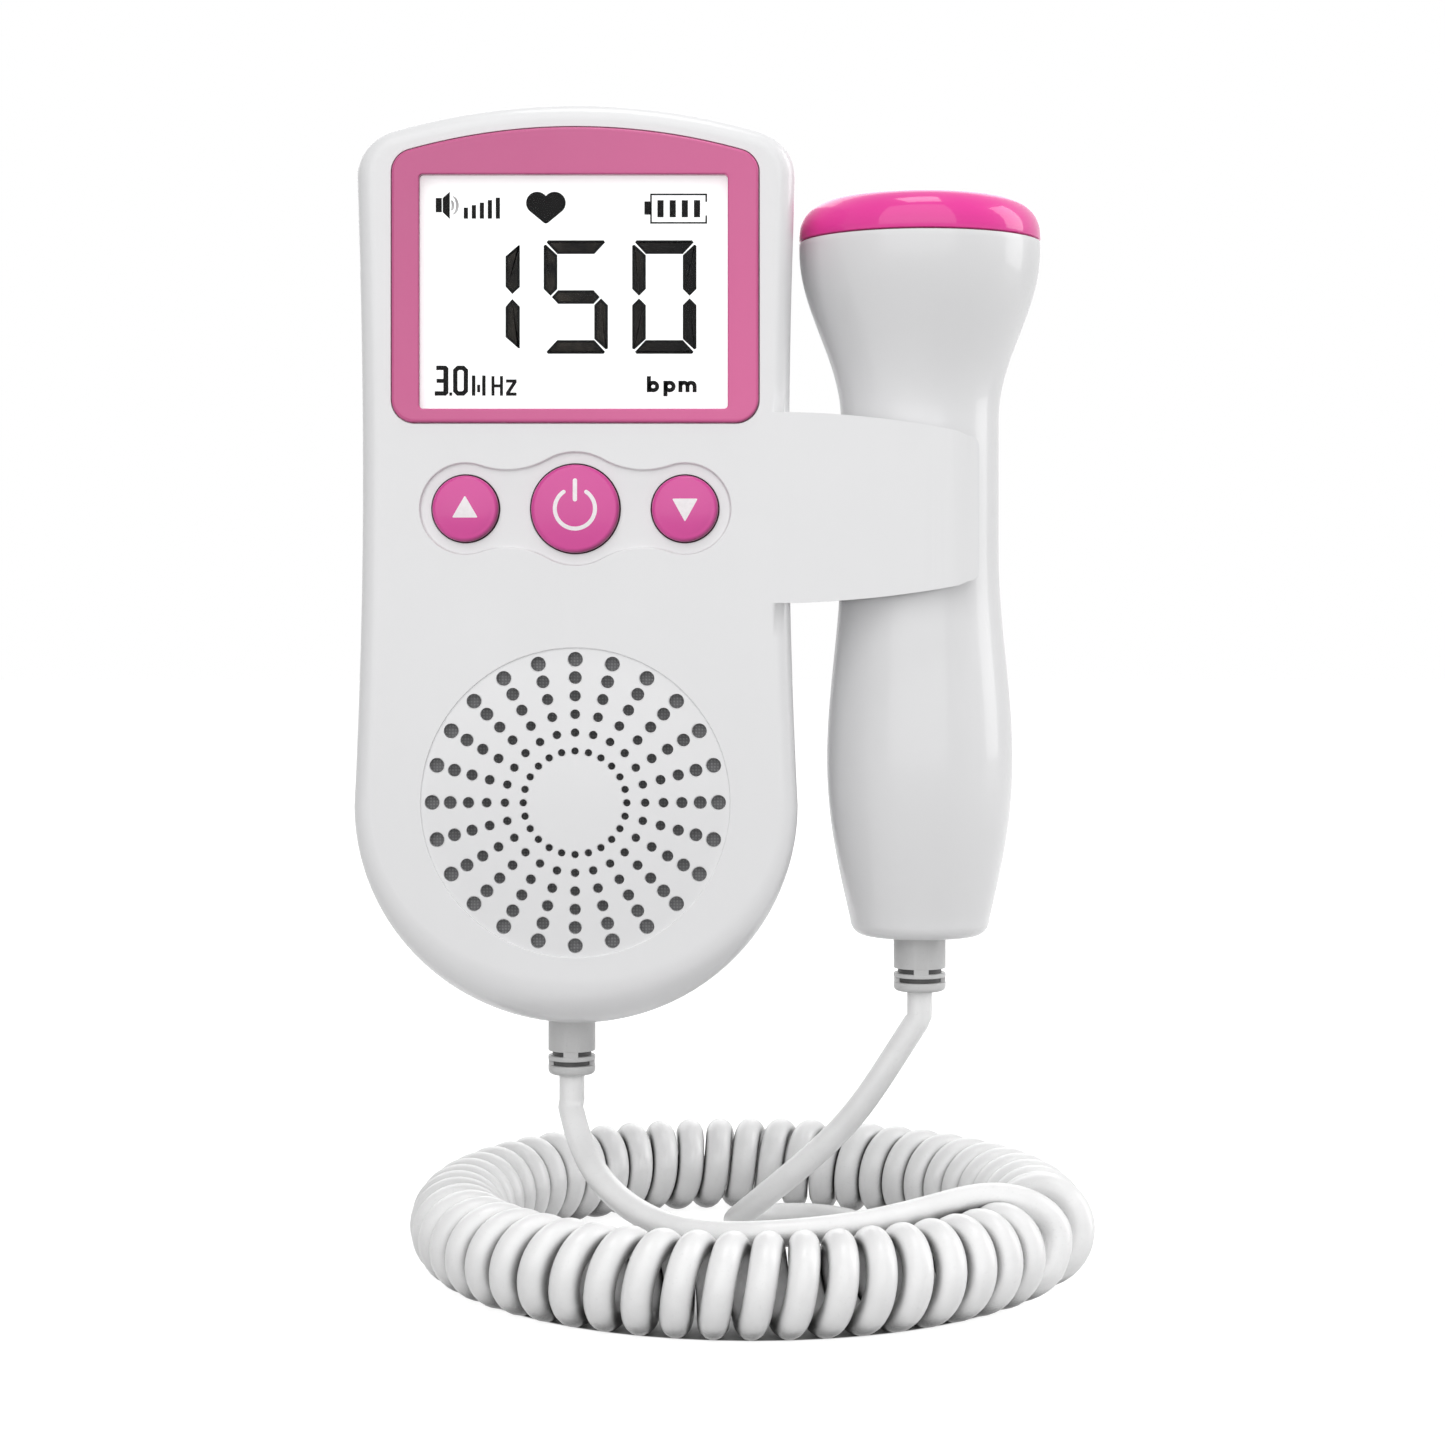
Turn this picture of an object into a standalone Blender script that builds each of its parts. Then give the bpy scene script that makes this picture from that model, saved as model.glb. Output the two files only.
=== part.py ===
"""Fetal doppler: a hand unit with display, buttons and speaker, a probe in its clip, and a curly cord.

Metres. X is right as seen from the front, Y runs from front to back, Z is up. The origin is the
middle of the flat back face.
"""

import math

import bmesh
import bpy
from mathutils import Vector

# Case
BODY_HEIGHT = 0.148
BODY_WIDTH = 0.0712
WAIST_WIDTH = 0.0684
SHOULDER_WIDTH = 0.0702
BODY_DEPTH = 0.034
WAIST_HEIGHT = 0.0878
SHOULDER_DROP = 0.0132
TOP_RADIUS = 0.106
CORNER_RADIUS = 0.0077
EDGE_RADIUS = 0.003
CHIN_EDGE_RADIUS = 0.008
WALL = 0.0022
GAP = 0.0003
CUT_OVERRUN = 0.004

# Display
BEZEL_WIDTH = 0.0586
BEZEL_HEIGHT = 0.0472
BEZEL_TOP_MARGIN = 0.004
BEZEL_TOP_RADIUS = 0.0985
BEZEL_CORNER = 0.0037
BEZEL_THICKNESS = 0.0016
BEZEL_PROUD = 0.0005
VIEW_WIDTH = 0.0494
VIEW_HEIGHT = 0.0372
VIEW_LIFT = 0.00225
VIEW_CORNER = 0.0006
LENS_THICKNESS = 0.0008
LENS_MARGIN = 0.0009
PANEL_MARGIN = 0.0012
PANEL_THICKNESS = 0.0018
BACKLIGHT_THICKNESS = 0.0025
HOLDER_WALL = 0.0009
HOLDER_FLOOR = 0.0016
HOLDER_FOOT = 0.003

# Buttons
BUTTON_MARGIN = 0.00464
BUTTON_SPACING = 0.01752
SIDE_BUTTON_RADIUS = 0.0053
POWER_BUTTON_RADIUS = 0.00705
SIDE_LOBE_RADIUS = 0.0073
POWER_LOBE_RADIUS = 0.00906
LOBE_FILLET = 0.0131
BUTTON_RECESS_DEPTH = 0.0008
BUTTON_PROUD = 0.0005
BUTTON_DOME = 0.0005
BUTTON_TRAVEL = 0.0006
FLANGE_WIDTH = 0.001
FLANGE_THICKNESS = 0.0009
STEM_RADIUS = 0.0016
SWITCH_SIZE = 0.006
SWITCH_HEIGHT = 0.0032
PLUNGER_RADIUS = 0.00165
PLUNGER_PROUD = 0.0017
PLUNGER_SEAT = 0.0007

# Speaker
GRILLE_HEIGHT = 0.0362
GRILLE_RAYS = 24
GRILLE_RINGS = 6
GRILLE_INNER_RADIUS = 0.00826
GRILLE_OUTER_RADIUS = 0.02288
GRILLE_SMALL_HOLE = 0.00058
GRILLE_LARGE_HOLE = 0.00118
GRILLE_HOLE_SIDES = 5
DISH_RADIUS = 0.0247
DISH_DEPTH = 0.0004
CLOTH_THICKNESS = 0.0003
SPEAKER_RADIUS = 0.025
SPEAKER_DEPTH = 0.0072
SPEAKER_SHEET = 0.0008
CONE_SHEET = 0.0006
CONE_MARGIN = 0.0022
CONE_RIM_SETBACK = 0.0003
CONE_DEPTH = 0.0043
CONE_TRAVEL = 0.00025
SPEAKER_SEAT_WIDTH = 0.0032
MAGNET_RADIUS = 0.013
MAGNET_DEPTH = 0.0038
COIL_RADIUS = 0.006
SPEAKER_RING_WALL = 0.001
SPEAKER_RING_HEIGHT = 0.0035

# Boards
BOARD_THICKNESS = 0.0016
BOARD_SETBACK = 0.012
BOARD_WIDTH = 0.053
BOARD_BOTTOM = 0.0623
BOARD_TOP = 0.1398
POST_RADIUS = 0.002
POST_SPREAD = 0.0245
POST_HEIGHT = 0.0688
CHIP_SIZE = 0.01
CHIP_THICKNESS = 0.0014
CHIP_HEIGHT = 0.1053
SOCKET_WIDTH = 0.012
SOCKET_DEPTH = 0.005
SOCKET_LENGTH = 0.006

# Battery bay
CELL_RADIUS = 0.00725
CELL_LENGTH = 0.0505
CELL_NUB_RADIUS = 0.00275
CELL_NUB_LENGTH = 0.001
CELL_SPACING = 0.0149
CONTACT_THICKNESS = 0.0005
CONTACT_BUMP = 0.0011
CONTACT_WIDTH = 0.012
BAY_TOP = 0.0656
BAY_WALL = 0.001
DOOR_THICKNESS = 0.002
DOOR_CORNER = 0.004
DOOR_LEDGE = 0.0018
GRIP_GROOVES = 5
GRIP_LENGTH = 0.014
GRIP_WIDTH = 0.0009
GRIP_DEPTH = 0.0006
GRIP_PITCH = 0.0022
LATCH_WIDTH = 0.008
LATCH_DEPTH = 0.0014
LATCH_THICKNESS = 0.0012

# Screws
SCREW_SPREAD = 0.0298
SCREW_HEIGHTS = (0.0568, 0.1248)
SCREW_RADIUS = 0.0011
SCREW_HEAD_RADIUS = 0.0021
SCREW_HEAD_HEIGHT = 0.0016
SCREW_LENGTH = 0.015
SCREW_SINK = 0.008
SCREW_SLOT_WIDTH = 0.0005
SCREW_SLOT_DEPTH = 0.0007
BOSS_RADIUS = 0.0024
SINK_WALL = 0.0008

# Probe and its clip
PROBE_LENGTH = 0.1215
PROBE_OFFSET = 0.0561
PROBE_LIFT = 0.0001
HEAD_RADIUS = 0.0199
NECK_RADIUS = 0.013
GRIP_RADIUS = 0.0153
TAIL_RADIUS = 0.0091
TAIL_SIDE_RADIUS = 0.0115
TAIL_SHARE = 0.0227
GRIP_SHARE = 0.247
NECK_LOW_SHARE = 0.553
NECK_HIGH_SHARE = 0.7426
HEAD_SHARE = 0.9883
SHELL_WALL = 0.002
CAP_WALL = 0.0018
CAP_HEIGHT = 0.0071
CAP_ROUND = 0.0055
CAP_DOME = 0.0005
CLIP_CLEARANCE = 0.0009
CLIP_REACH = 0.0646
CLIP_BEND_START = 0.0563
CLIP_TIP_THICKNESS = 0.0013
CLIP_ROOT_TOP = 0.02455
CLIP_TIP_TOP = 0.02085
CLIP_ROOT_BOTTOM = 0.00595
CLIP_TIP_BOTTOM = 0.00245
CLIP_TIP_CORNER = 0.0018
SENDER_RADIUS = 0.0105
SENDER_THICKNESS = 0.0012
SENDER_SPLIT = 0.0012
BACKING_THICKNESS = 0.004
PROBE_BOARD_LENGTH = 0.022
PROBE_BOARD_THICKNESS = 0.0012

# Strain reliefs and cord
BOOT_OFFSET = 0.0014
BOOT_RADIUS = 0.0039
BOOT_LENGTH = 0.0094
BOOT_NECK_RADIUS = 0.0028
BOOT_FLANGE_RADIUS = 0.0046
BOOT_FLANGE_THICKNESS = 0.0014
BOOT_SLOT = 0.0008
BOOT_SLOT_DEPTH = 0.0007
PROBE_BOOT_RADIUS = 0.0043
PROBE_BOOT_LENGTH = 0.009
CORD_RADIUS = 0.0021
SURFACE = -0.1158
RING_X = 0.028
RING_Y = -0.016
RING_RADIUS = 0.048
CURL_RADIUS = 0.0059
CURL_SWELL = 0.0026
CURL_START = math.radians(-20)
CURL_STRETCH = math.radians(8)
CURL_EASE = 1.9
CURL_END_LEAN = math.radians(75)
CURL_END_STEP = math.radians(1)
CURLS_PER_CIRCLE = 55
WHOLE_CURLS = 52
UNIT_LEAD_ROUTE = (
    (-0.0018, -0.0180, -0.0918),
    (0.0002, -0.0215, -0.0958),
    (0.0038, -0.0290, -0.0998),
    (0.0104, -0.0400, -0.1028),
    (0.0180, -0.0495, -0.1033),
    (0.0262, -0.0546, -0.1028),
    (0.0354, -0.0546, -0.1019),
    (0.0430, -0.0518, -0.1018),
    (0.0500, -0.0475, -0.1015),
    (0.0558, -0.0420, -0.1008),
    (0.0597, -0.0372, -0.0997),
)
PROBE_LEAD_ROUTE = (
    (0.0549, -0.0166, -0.0745),
    (0.0523, -0.0160, -0.0799),
    (0.0498, -0.0151, -0.0851),
    (0.0465, -0.0139, -0.0904),
    (0.0430, -0.0125, -0.0946),
    (0.0388, -0.0109, -0.0986),
    (0.0338, -0.0087, -0.1030),
    (0.0287, -0.0058, -0.1078),
    (0.0250, -0.0015, -0.1120),
    (0.0240, 0.0060, -0.1136),
    (0.0280, 0.0138, -0.1137),
    (0.0360, 0.0170, -0.1137),
    (0.0440, 0.0138, -0.1137),
    (0.0490, 0.0060, -0.1137),
    (0.0508, -0.0040, -0.1137),
    (0.0520, -0.0140, -0.1137),
    (0.0545, -0.0240, -0.1137),
    (0.0592, -0.0310, -0.1137),
)

# Resolution
SHARP_ANGLE = math.radians(35)
ARC_STEPS = 6
TIP_STEPS = 3
CHIN_STEPS = 18
SIDE_STEPS = 3
EDGE_STEPS = 3
ROUND_STEPS = 24
SMALL_ROUND_STEPS = 10
POINTS_PER_CURL = 8
GAP_POINTS_PER_CURL = 36
ROUTE_STEPS = 12
CORD_POINT_SPACING = 0.0062

# Places worked out from the sizes above
FLOOR = -BODY_HEIGHT / 2
CROWN = BODY_HEIGHT / 2
CHIN_RADIUS = BODY_WIDTH / 2
CHIN_CENTRE = FLOOR + CHIN_RADIUS
WAIST = FLOOR + WAIST_HEIGHT
SHOULDER = CROWN - SHOULDER_DROP
FRONT = -BODY_DEPTH
PARTING = FRONT / 2
INNER_FRONT = FRONT + WALL
BEZEL_FRONT = FRONT - BEZEL_PROUD
BEZEL_BACK = BEZEL_FRONT + BEZEL_THICKNESS
POCKET_FLOOR = BEZEL_BACK + GAP
BEZEL_TOP = CROWN - BEZEL_TOP_MARGIN
BEZEL_BOTTOM = BEZEL_TOP - BEZEL_HEIGHT
VIEW_BOTTOM = BEZEL_BOTTOM + VIEW_LIFT
VIEW_TOP = VIEW_BOTTOM + VIEW_HEIGHT
PANEL_FRONT = INNER_FRONT + GAP
PANEL_BACK = PANEL_FRONT + PANEL_THICKNESS
BACKLIGHT_BACK = PANEL_BACK + GAP + BACKLIGHT_THICKNESS
HOLDER_BACK = BACKLIGHT_BACK + GAP + HOLDER_FLOOR
BUTTON_ROW = BEZEL_BOTTOM - BUTTON_MARGIN - POWER_LOBE_RADIUS
GRILLE_CENTRE = FLOOR + GRILLE_HEIGHT
CLOTH_BACK = INNER_FRONT + GAP + CLOTH_THICKNESS
SPEAKER_FRONT = CLOTH_BACK + GAP
SPEAKER_BACK = SPEAKER_FRONT + SPEAKER_DEPTH
BOARD_FRONT = FRONT + BOARD_SETBACK
BOARD_BACK = BOARD_FRONT + BOARD_THICKNESS
DOOR_FLOOR = -DOOR_THICKNESS
BAY_CEILING = FLOOR + BAY_TOP
CELL_TOP = BAY_CEILING - 3 * GAP - CONTACT_THICKNESS - CONTACT_BUMP
CELL_BOTTOM = CELL_TOP - CELL_LENGTH
BAY_BOTTOM = CELL_BOTTOM - 3 * GAP - CONTACT_THICKNESS - CONTACT_BUMP
CELL_DEPTH = DOOR_FLOOR - 2 * GAP - CELL_RADIUS
BAY_HALF_WIDTH = CELL_SPACING / 2 + CELL_RADIUS + GAP
BAY_FRONT = CELL_DEPTH - CELL_RADIUS - GAP
DOOR_TOP = BAY_CEILING + DOOR_LEDGE
DOOR_BOTTOM = BAY_BOTTOM - DOOR_LEDGE
DOOR_HALF_WIDTH = BAY_HALF_WIDTH + DOOR_LEDGE
PLUNGER_FRONT = BOARD_FRONT - GAP - SWITCH_HEIGHT - PLUNGER_PROUD
BOOT_X = -BOOT_OFFSET
PROBE_TOP = PROBE_LIFT + PROBE_LENGTH / 2
PROBE_BOTTOM = PROBE_LIFT - PROBE_LENGTH / 2
CAP_EDGE = PROBE_TOP - CAP_HEIGHT
CAP_SIDE = PROBE_TOP - CAP_DOME - CAP_ROUND
SHELL_LENGTH = CAP_EDGE - PROBE_BOTTOM
CLIP_RADIUS = NECK_RADIUS + CLIP_CLEARANCE


def clear_scene():
    for old in list(bpy.data.objects):
        bpy.data.objects.remove(old)


def material(name, colour, roughness, metallic=0.0, alpha=1.0):
    """A Principled material of one colour."""
    made = bpy.data.materials.new(name)
    made.use_nodes = True
    shader = made.node_tree.nodes["Principled BSDF"]
    shader.inputs["Base Color"].default_value = (*colour, 1.0)
    shader.inputs["Roughness"].default_value = roughness
    shader.inputs["Metallic"].default_value = metallic
    shader.inputs["Alpha"].default_value = alpha
    return made


def finish_mesh(name, build, finish):
    """Turns a bmesh into a named object with its material, faces outward and round parts smooth."""
    bmesh.ops.recalc_face_normals(build, faces=build.faces[:])
    mesh = bpy.data.meshes.new(name)
    build.to_mesh(mesh)
    build.free()
    mesh.materials.append(finish)
    mesh.shade_smooth()
    mesh.set_sharp_from_angle(angle=SHARP_ANGLE)
    made = bpy.data.objects.new(name, mesh)
    bpy.context.scene.collection.objects.link(made)
    return made


def loft(name, rings, finish):
    """A closed solid through rings of equally many points, with a cap on the first and last."""
    build = bmesh.new()
    loops = [[build.verts.new(point) for point in ring] for ring in rings]
    for lower, upper in zip(loops, loops[1:]):
        for index in range(len(lower)):
            after = (index + 1) % len(lower)
            build.faces.new((lower[index], lower[after], upper[after], upper[index]))
    build.faces.new(list(reversed(loops[0])))
    build.faces.new(loops[-1])
    return finish_mesh(name, build, finish)


def prism(name, outline, start, end, finish, along="Y"):
    """The outline pushed from start to end along Y (points are X, Z) or along Z (points are X, Y)."""
    if along == "Y":
        rings = [[Vector((x, level, z)) for x, z in outline] for level in (start, end)]
    else:
        rings = [[Vector((x, y, level)) for x, y in outline] for level in (start, end)]
    return loft(name, rings, finish)


def block(name, low, high, finish):
    """A box between its lowest and highest corners."""
    outline = [(low[0], low[2]), (high[0], low[2]), (high[0], high[2]), (low[0], high[2])]
    return prism(name, outline, low[1], high[1], finish)


def turned(name, profile, centre, finish, along="Z", steps=ROUND_STEPS, half=None):
    """A solid of revolution from (radius, level) points about an axis through the centre.

    A profile that starts and ends on the axis is open, any other is a closed loop. The half
    "front" or "rear" makes only the side with Y below or above the axis.
    """
    build = bmesh.new()
    sweep = math.tau if half is None else math.pi
    first = {"front": math.pi, "rear": 0.0, None: 0.0}[half]
    closed = profile[0][0] > 0
    count = steps if half is None else steps + 1
    columns = []
    poles = {}
    for step in range(count):
        angle = first + sweep * step / steps
        column = []
        for index, (radius, level) in enumerate(profile):
            if radius == 0 and index in poles:
                column.append(poles[index])
                continue
            across = radius * math.cos(angle)
            aside = radius * math.sin(angle)
            if along == "Z":
                place = Vector(centre) + Vector((across, aside, level))
            else:
                place = Vector(centre) + Vector((across, level, aside))
            vertex = build.verts.new(place)
            column.append(vertex)
            if radius == 0:
                poles[index] = vertex
        columns.append(column)
    pairs = list(zip(columns, columns[1:]))
    if half is None:
        pairs.append((columns[-1], columns[0]))
    else:
        build.faces.new(columns[0])
        build.faces.new(list(reversed(columns[-1])))
    edges = len(profile) if closed else len(profile) - 1
    for left, right in pairs:
        for index in range(edges):
            after = (index + 1) % len(profile)
            corners = [left[index], left[after], right[after], right[index]]
            unique = list(dict.fromkeys(corners))
            if len(unique) > 2:
                build.faces.new(unique)
    return finish_mesh(name, build, finish)


def boolean(target, other, operation):
    """Applies a Boolean of the other object to the target and removes the other."""
    step = target.modifiers.new(operation.lower(), "BOOLEAN")
    step.operation = operation
    step.solver = "EXACT"
    step.object = other
    graph = bpy.context.evaluated_depsgraph_get()
    result = bpy.data.meshes.new_from_object(target.evaluated_get(graph))
    finish = target.data.materials[0]
    result.materials.clear()
    result.materials.append(finish)
    target.modifiers.clear()
    before = target.data
    target.data = result
    result.name = target.name
    bpy.data.meshes.remove(before)
    bpy.data.objects.remove(other)
    result.shade_smooth()
    result.set_sharp_from_angle(angle=SHARP_ANGLE)


def cut(target, *others):
    for other in others:
        boolean(target, other, "DIFFERENCE")


def join(target, *others):
    for other in others:
        boolean(target, other, "UNION")


def keep(target, *others):
    for other in others:
        boolean(target, other, "INTERSECT")


def arc(centre, radius, first, last, steps):
    """Points of an arc with their outward normals, angles in radians."""
    points = []
    for step in range(steps + 1):
        angle = first + (last - first) * step / steps
        normal = (math.cos(angle), math.sin(angle))
        points.append((centre[0] + radius * normal[0], centre[1] + radius * normal[1], *normal))
    return points


def rounded_box(half_width, bottom, top, radius, steps=TIP_STEPS):
    """A rectangle with round corners, as X, Z points."""
    points = []
    corners = (
        (half_width - radius, bottom + radius, -math.pi / 2),
        (half_width - radius, top - radius, 0.0),
        (radius - half_width, top - radius, math.pi / 2),
        (radius - half_width, bottom + radius, math.pi),
    )
    for x, z, first in corners:
        points += [point[:2] for point in arc((x, z), radius, first, first + math.pi / 2, steps)]
    return points


def circle(centre, radius, steps, turn=0.0):
    """A circle as X, Z points."""
    return [point[:2] for point in arc(centre, radius, turn, turn + math.tau, steps)[:-1]]


def flank(level):
    """Half the case's width between the chin's centre and the shoulder: a slight waist."""
    if level < WAIST:
        share = (WAIST - level) / (WAIST - CHIN_CENTRE)
        return (WAIST_WIDTH + (BODY_WIDTH - WAIST_WIDTH) * share**2) / 2
    share = (level - WAIST) / (SHOULDER - WAIST)
    return (WAIST_WIDTH + (SHOULDER_WIDTH - WAIST_WIDTH) * share**2) / 2


def case_outline():
    """The case's outline from the front as (x, z, normal x, normal z, share of chin rounding)."""
    crown_centre = CROWN - TOP_RADIUS
    corner_x = SHOULDER_WIDTH / 2 - CORNER_RADIUS
    corner_z = crown_centre + math.sqrt((TOP_RADIUS - CORNER_RADIUS) ** 2 - corner_x**2)
    lean = math.atan2(corner_z - crown_centre, corner_x)
    points = arc((0, CHIN_CENTRE), CHIN_RADIUS, -math.pi, 0, CHIN_STEPS)
    right = []
    for step in range(1, SIDE_STEPS + 1):
        level = CHIN_CENTRE + (corner_z - CHIN_CENTRE) * step / (SIDE_STEPS + 1)
        right.append((flank(level), level, 1.0, 0.0))
    corner = arc((corner_x, corner_z), CORNER_RADIUS, 0, lean, ARC_STEPS - 1)
    top = arc((0, crown_centre), TOP_RADIUS, lean, math.pi - lean, ARC_STEPS + 2)[1:-1]
    left_corner = [(-x, z, -nx, nz) for x, z, nx, nz in reversed(corner)]
    left = [(-x, z, -nx, nz) for x, z, nx, nz in reversed(right)]
    return points + right + corner + top + left_corner + left


def case_ring(inset, level):
    """One ring of the case: inset and level are functions of how far a point is down the chin."""
    ring = []
    for x, z, normal_x, normal_z in case_outline():
        chin_share = max(0.0, -normal_z) ** 2
        edge = EDGE_RADIUS + (CHIN_EDGE_RADIUS - EDGE_RADIUS) * chin_share
        move = inset(edge)
        ring.append(Vector((x - normal_x * move, level(edge), z - normal_z * move)))
    return ring


def case_form(name, front, back, front_round, finish):
    """The case's full outer form between two levels, rounded at its front or at its back."""
    rings = []
    for step in range(EDGE_STEPS + 1):
        turn = math.pi / 2 * (1 - step / EDGE_STEPS)
        rings.append(
            case_ring(
                lambda edge, turn=turn: edge * (1 - math.cos(turn)),
                lambda edge, turn=turn: front + edge * (1 - math.sin(turn)),
            )
            if front_round
            else case_ring(
                lambda edge, turn=turn: EDGE_RADIUS * (1 - math.cos(turn)),
                lambda edge, turn=turn: back - EDGE_RADIUS * (1 - math.sin(turn)),
            )
        )
    far = back if front_round else front
    rings.append(case_ring(lambda edge: 0.0, lambda edge: far))
    return loft(name, rings, finish)


def case_hollow(name, front, back, front_round, finish):
    """The space inside one half of the case, open past the parting plane."""
    near = front + WALL if front_round else back - WALL
    side = 1 if front_round else -1
    far = back + CUT_OVERRUN if front_round else front - CUT_OVERRUN

    def edge_of(edge):
        return edge if front_round else EDGE_RADIUS

    rings = [
        case_ring(lambda edge: edge_of(edge), lambda edge: near),
        case_ring(
            lambda edge: WALL + (edge_of(edge) - WALL) * (1 - math.sin(math.pi / 4)),
            lambda edge: near + side * (edge_of(edge) - WALL) * (1 - math.cos(math.pi / 4)),
        ),
        case_ring(lambda edge: WALL, lambda edge: near + side * (edge_of(edge) - WALL)),
        case_ring(lambda edge: WALL, lambda edge: far),
    ]
    return loft(name, rings, finish)


def bezel_outline(grow):
    """The bezel's outline: straight sides, round lower corners, and a top that follows the case."""
    half = BEZEL_WIDTH / 2 + grow
    corner = BEZEL_CORNER + grow
    radius = BEZEL_TOP_RADIUS + grow
    centre = BEZEL_TOP - BEZEL_TOP_RADIUS
    corner_x = half - corner
    corner_z = centre + math.sqrt((radius - corner) ** 2 - corner_x**2)
    lean = math.atan2(corner_z - centre, corner_x)
    low = BEZEL_BOTTOM - grow + corner
    points = arc((corner_x, low), corner, -math.pi / 2, 0, ARC_STEPS)
    points += arc((corner_x, corner_z), corner, 0, lean, ARC_STEPS)
    points += arc((0, centre), radius, lean, math.pi - lean, 2 * ARC_STEPS)[1:-1]
    points += arc((-corner_x, corner_z), corner, math.pi - lean, math.pi, ARC_STEPS)
    points += arc((-corner_x, low), corner, math.pi, 1.5 * math.pi, ARC_STEPS)
    return [point[:2] for point in points]


def view_outline(grow):
    """The display's opening, grown on all sides."""
    return rounded_box(
        VIEW_WIDTH / 2 + grow, VIEW_BOTTOM - grow, VIEW_TOP + grow, VIEW_CORNER + max(grow, 0)
    )


def recess_outline():
    """The cloud-shaped recess round the buttons: three lobes and the fillets between them."""
    reach = POWER_LOBE_RADIUS + LOBE_FILLET
    side_reach = SIDE_LOBE_RADIUS + LOBE_FILLET
    fillet_x = (reach**2 - side_reach**2 + BUTTON_SPACING**2) / (2 * BUTTON_SPACING)
    fillet_z = math.sqrt(reach**2 - fillet_x**2)
    power_turn = math.atan2(fillet_z, fillet_x)
    side_turn = math.atan2(fillet_z, fillet_x - BUTTON_SPACING)
    side = arc((BUTTON_SPACING, 0), SIDE_LOBE_RADIUS, 0, side_turn, ARC_STEPS)
    fillet = arc(
        (fillet_x, fillet_z), LOBE_FILLET, side_turn - math.pi, power_turn - math.pi, ARC_STEPS - 2
    )
    crown = arc((0, 0), POWER_LOBE_RADIUS, power_turn, math.pi / 2, ARC_STEPS - 2)
    quarter = [point[:2] for point in side + fillet[1:-1] + crown]
    top = quarter + [(-x, z) for x, z in reversed(quarter[:-1])]
    around = top + [(x, -z) for x, z in reversed(top[1:-1])]
    return [(x, BUTTON_ROW + z) for x, z in around]


def button_places():
    """Each button's name, X and radius."""
    return (
        ("up", -BUTTON_SPACING, SIDE_BUTTON_RADIUS),
        ("power", 0.0, POWER_BUTTON_RADIUS),
        ("down", BUTTON_SPACING, SIDE_BUTTON_RADIUS),
    )


def grille_cutter(finish):
    """All the grille's holes as one cutter: rays of holes that grow outwards."""
    build = bmesh.new()
    for ring in range(GRILLE_RINGS):
        share = ring / (GRILLE_RINGS - 1)
        away = GRILLE_INNER_RADIUS + (GRILLE_OUTER_RADIUS - GRILLE_INNER_RADIUS) * share
        hole = GRILLE_SMALL_HOLE * (GRILLE_LARGE_HOLE / GRILLE_SMALL_HOLE) ** share
        for ray in range(GRILLE_RAYS):
            turn = math.tau * ray / GRILLE_RAYS
            centre = (away * math.sin(turn), GRILLE_CENTRE + away * math.cos(turn))
            outline = circle(centre, hole, GRILLE_HOLE_SIDES, -turn)
            front = [build.verts.new((x, FRONT - CUT_OVERRUN, z)) for x, z in outline]
            back = [build.verts.new((x, INNER_FRONT + CUT_OVERRUN, z)) for x, z in outline]
            build.faces.new(front)
            build.faces.new(list(reversed(back)))
            for index in range(GRILLE_HOLE_SIDES):
                after = (index + 1) % GRILLE_HOLE_SIDES
                build.faces.new((front[index], back[index], back[after], front[after]))
    return finish_mesh("grille_cutter", build, finish)


def clip_arm(side, finish):
    """One half of the clip: the arm beside the neck and the saddle between it and the case."""
    inner = PARTING - CLIP_RADIUS
    root = WAIST_WIDTH / 2 - EDGE_RADIUS
    seam = PARTING - GAP / 2
    bend = [
        (
            CLIP_BEND_START + (CLIP_REACH - CLIP_BEND_START) * share,
            FRONT + (inner - CLIP_TIP_THICKNESS - FRONT) * share**2,
        )
        for share in (0.0, 0.35, 0.7, 1.0)
    ]
    around = arc((PROBE_OFFSET, PARTING), CLIP_RADIUS, -math.pi / 2, -math.pi, 2 * ARC_STEPS)
    points = [(root, FRONT), *bend, (CLIP_REACH, inner)]
    points += [point[:2] for point in around[:-1]]
    points += [(PROBE_OFFSET - CLIP_RADIUS, seam), (root, seam)]
    if side == "rear":
        points = [(x, 2 * PARTING - y) for x, y in points]
    arm = prism(
        side + "_arm", points, -CLIP_ROOT_BOTTOM - CUT_OVERRUN, CLIP_ROOT_TOP + CUT_OVERRUN,
        finish, along="Z",
    )
    reach = CLIP_REACH - root
    edge_shares = (0.0, 0.3, 0.6, 0.9)
    top = [
        (root + reach * share, CLIP_ROOT_TOP + (CLIP_TIP_TOP - CLIP_ROOT_TOP) * share**2)
        for share in edge_shares
    ]
    low = [
        (root + reach * share, (CLIP_ROOT_BOTTOM - CLIP_TIP_BOTTOM) * share**2 - CLIP_ROOT_BOTTOM)
        for share in edge_shares
    ]
    corner = CLIP_REACH - CLIP_TIP_CORNER
    upper = arc((corner, CLIP_TIP_TOP - CLIP_TIP_CORNER), CLIP_TIP_CORNER, math.pi / 2, 0, TIP_STEPS)
    lower = arc((corner, CLIP_TIP_CORNER - CLIP_TIP_BOTTOM), CLIP_TIP_CORNER, 0, -math.pi / 2, TIP_STEPS)
    outline = top + [point[:2] for point in upper + lower] + list(reversed(low))
    mask = prism(side + "_mask", outline, FRONT - CUT_OVERRUN, CUT_OVERRUN, finish)
    keep(arm, mask)
    return arm


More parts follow.
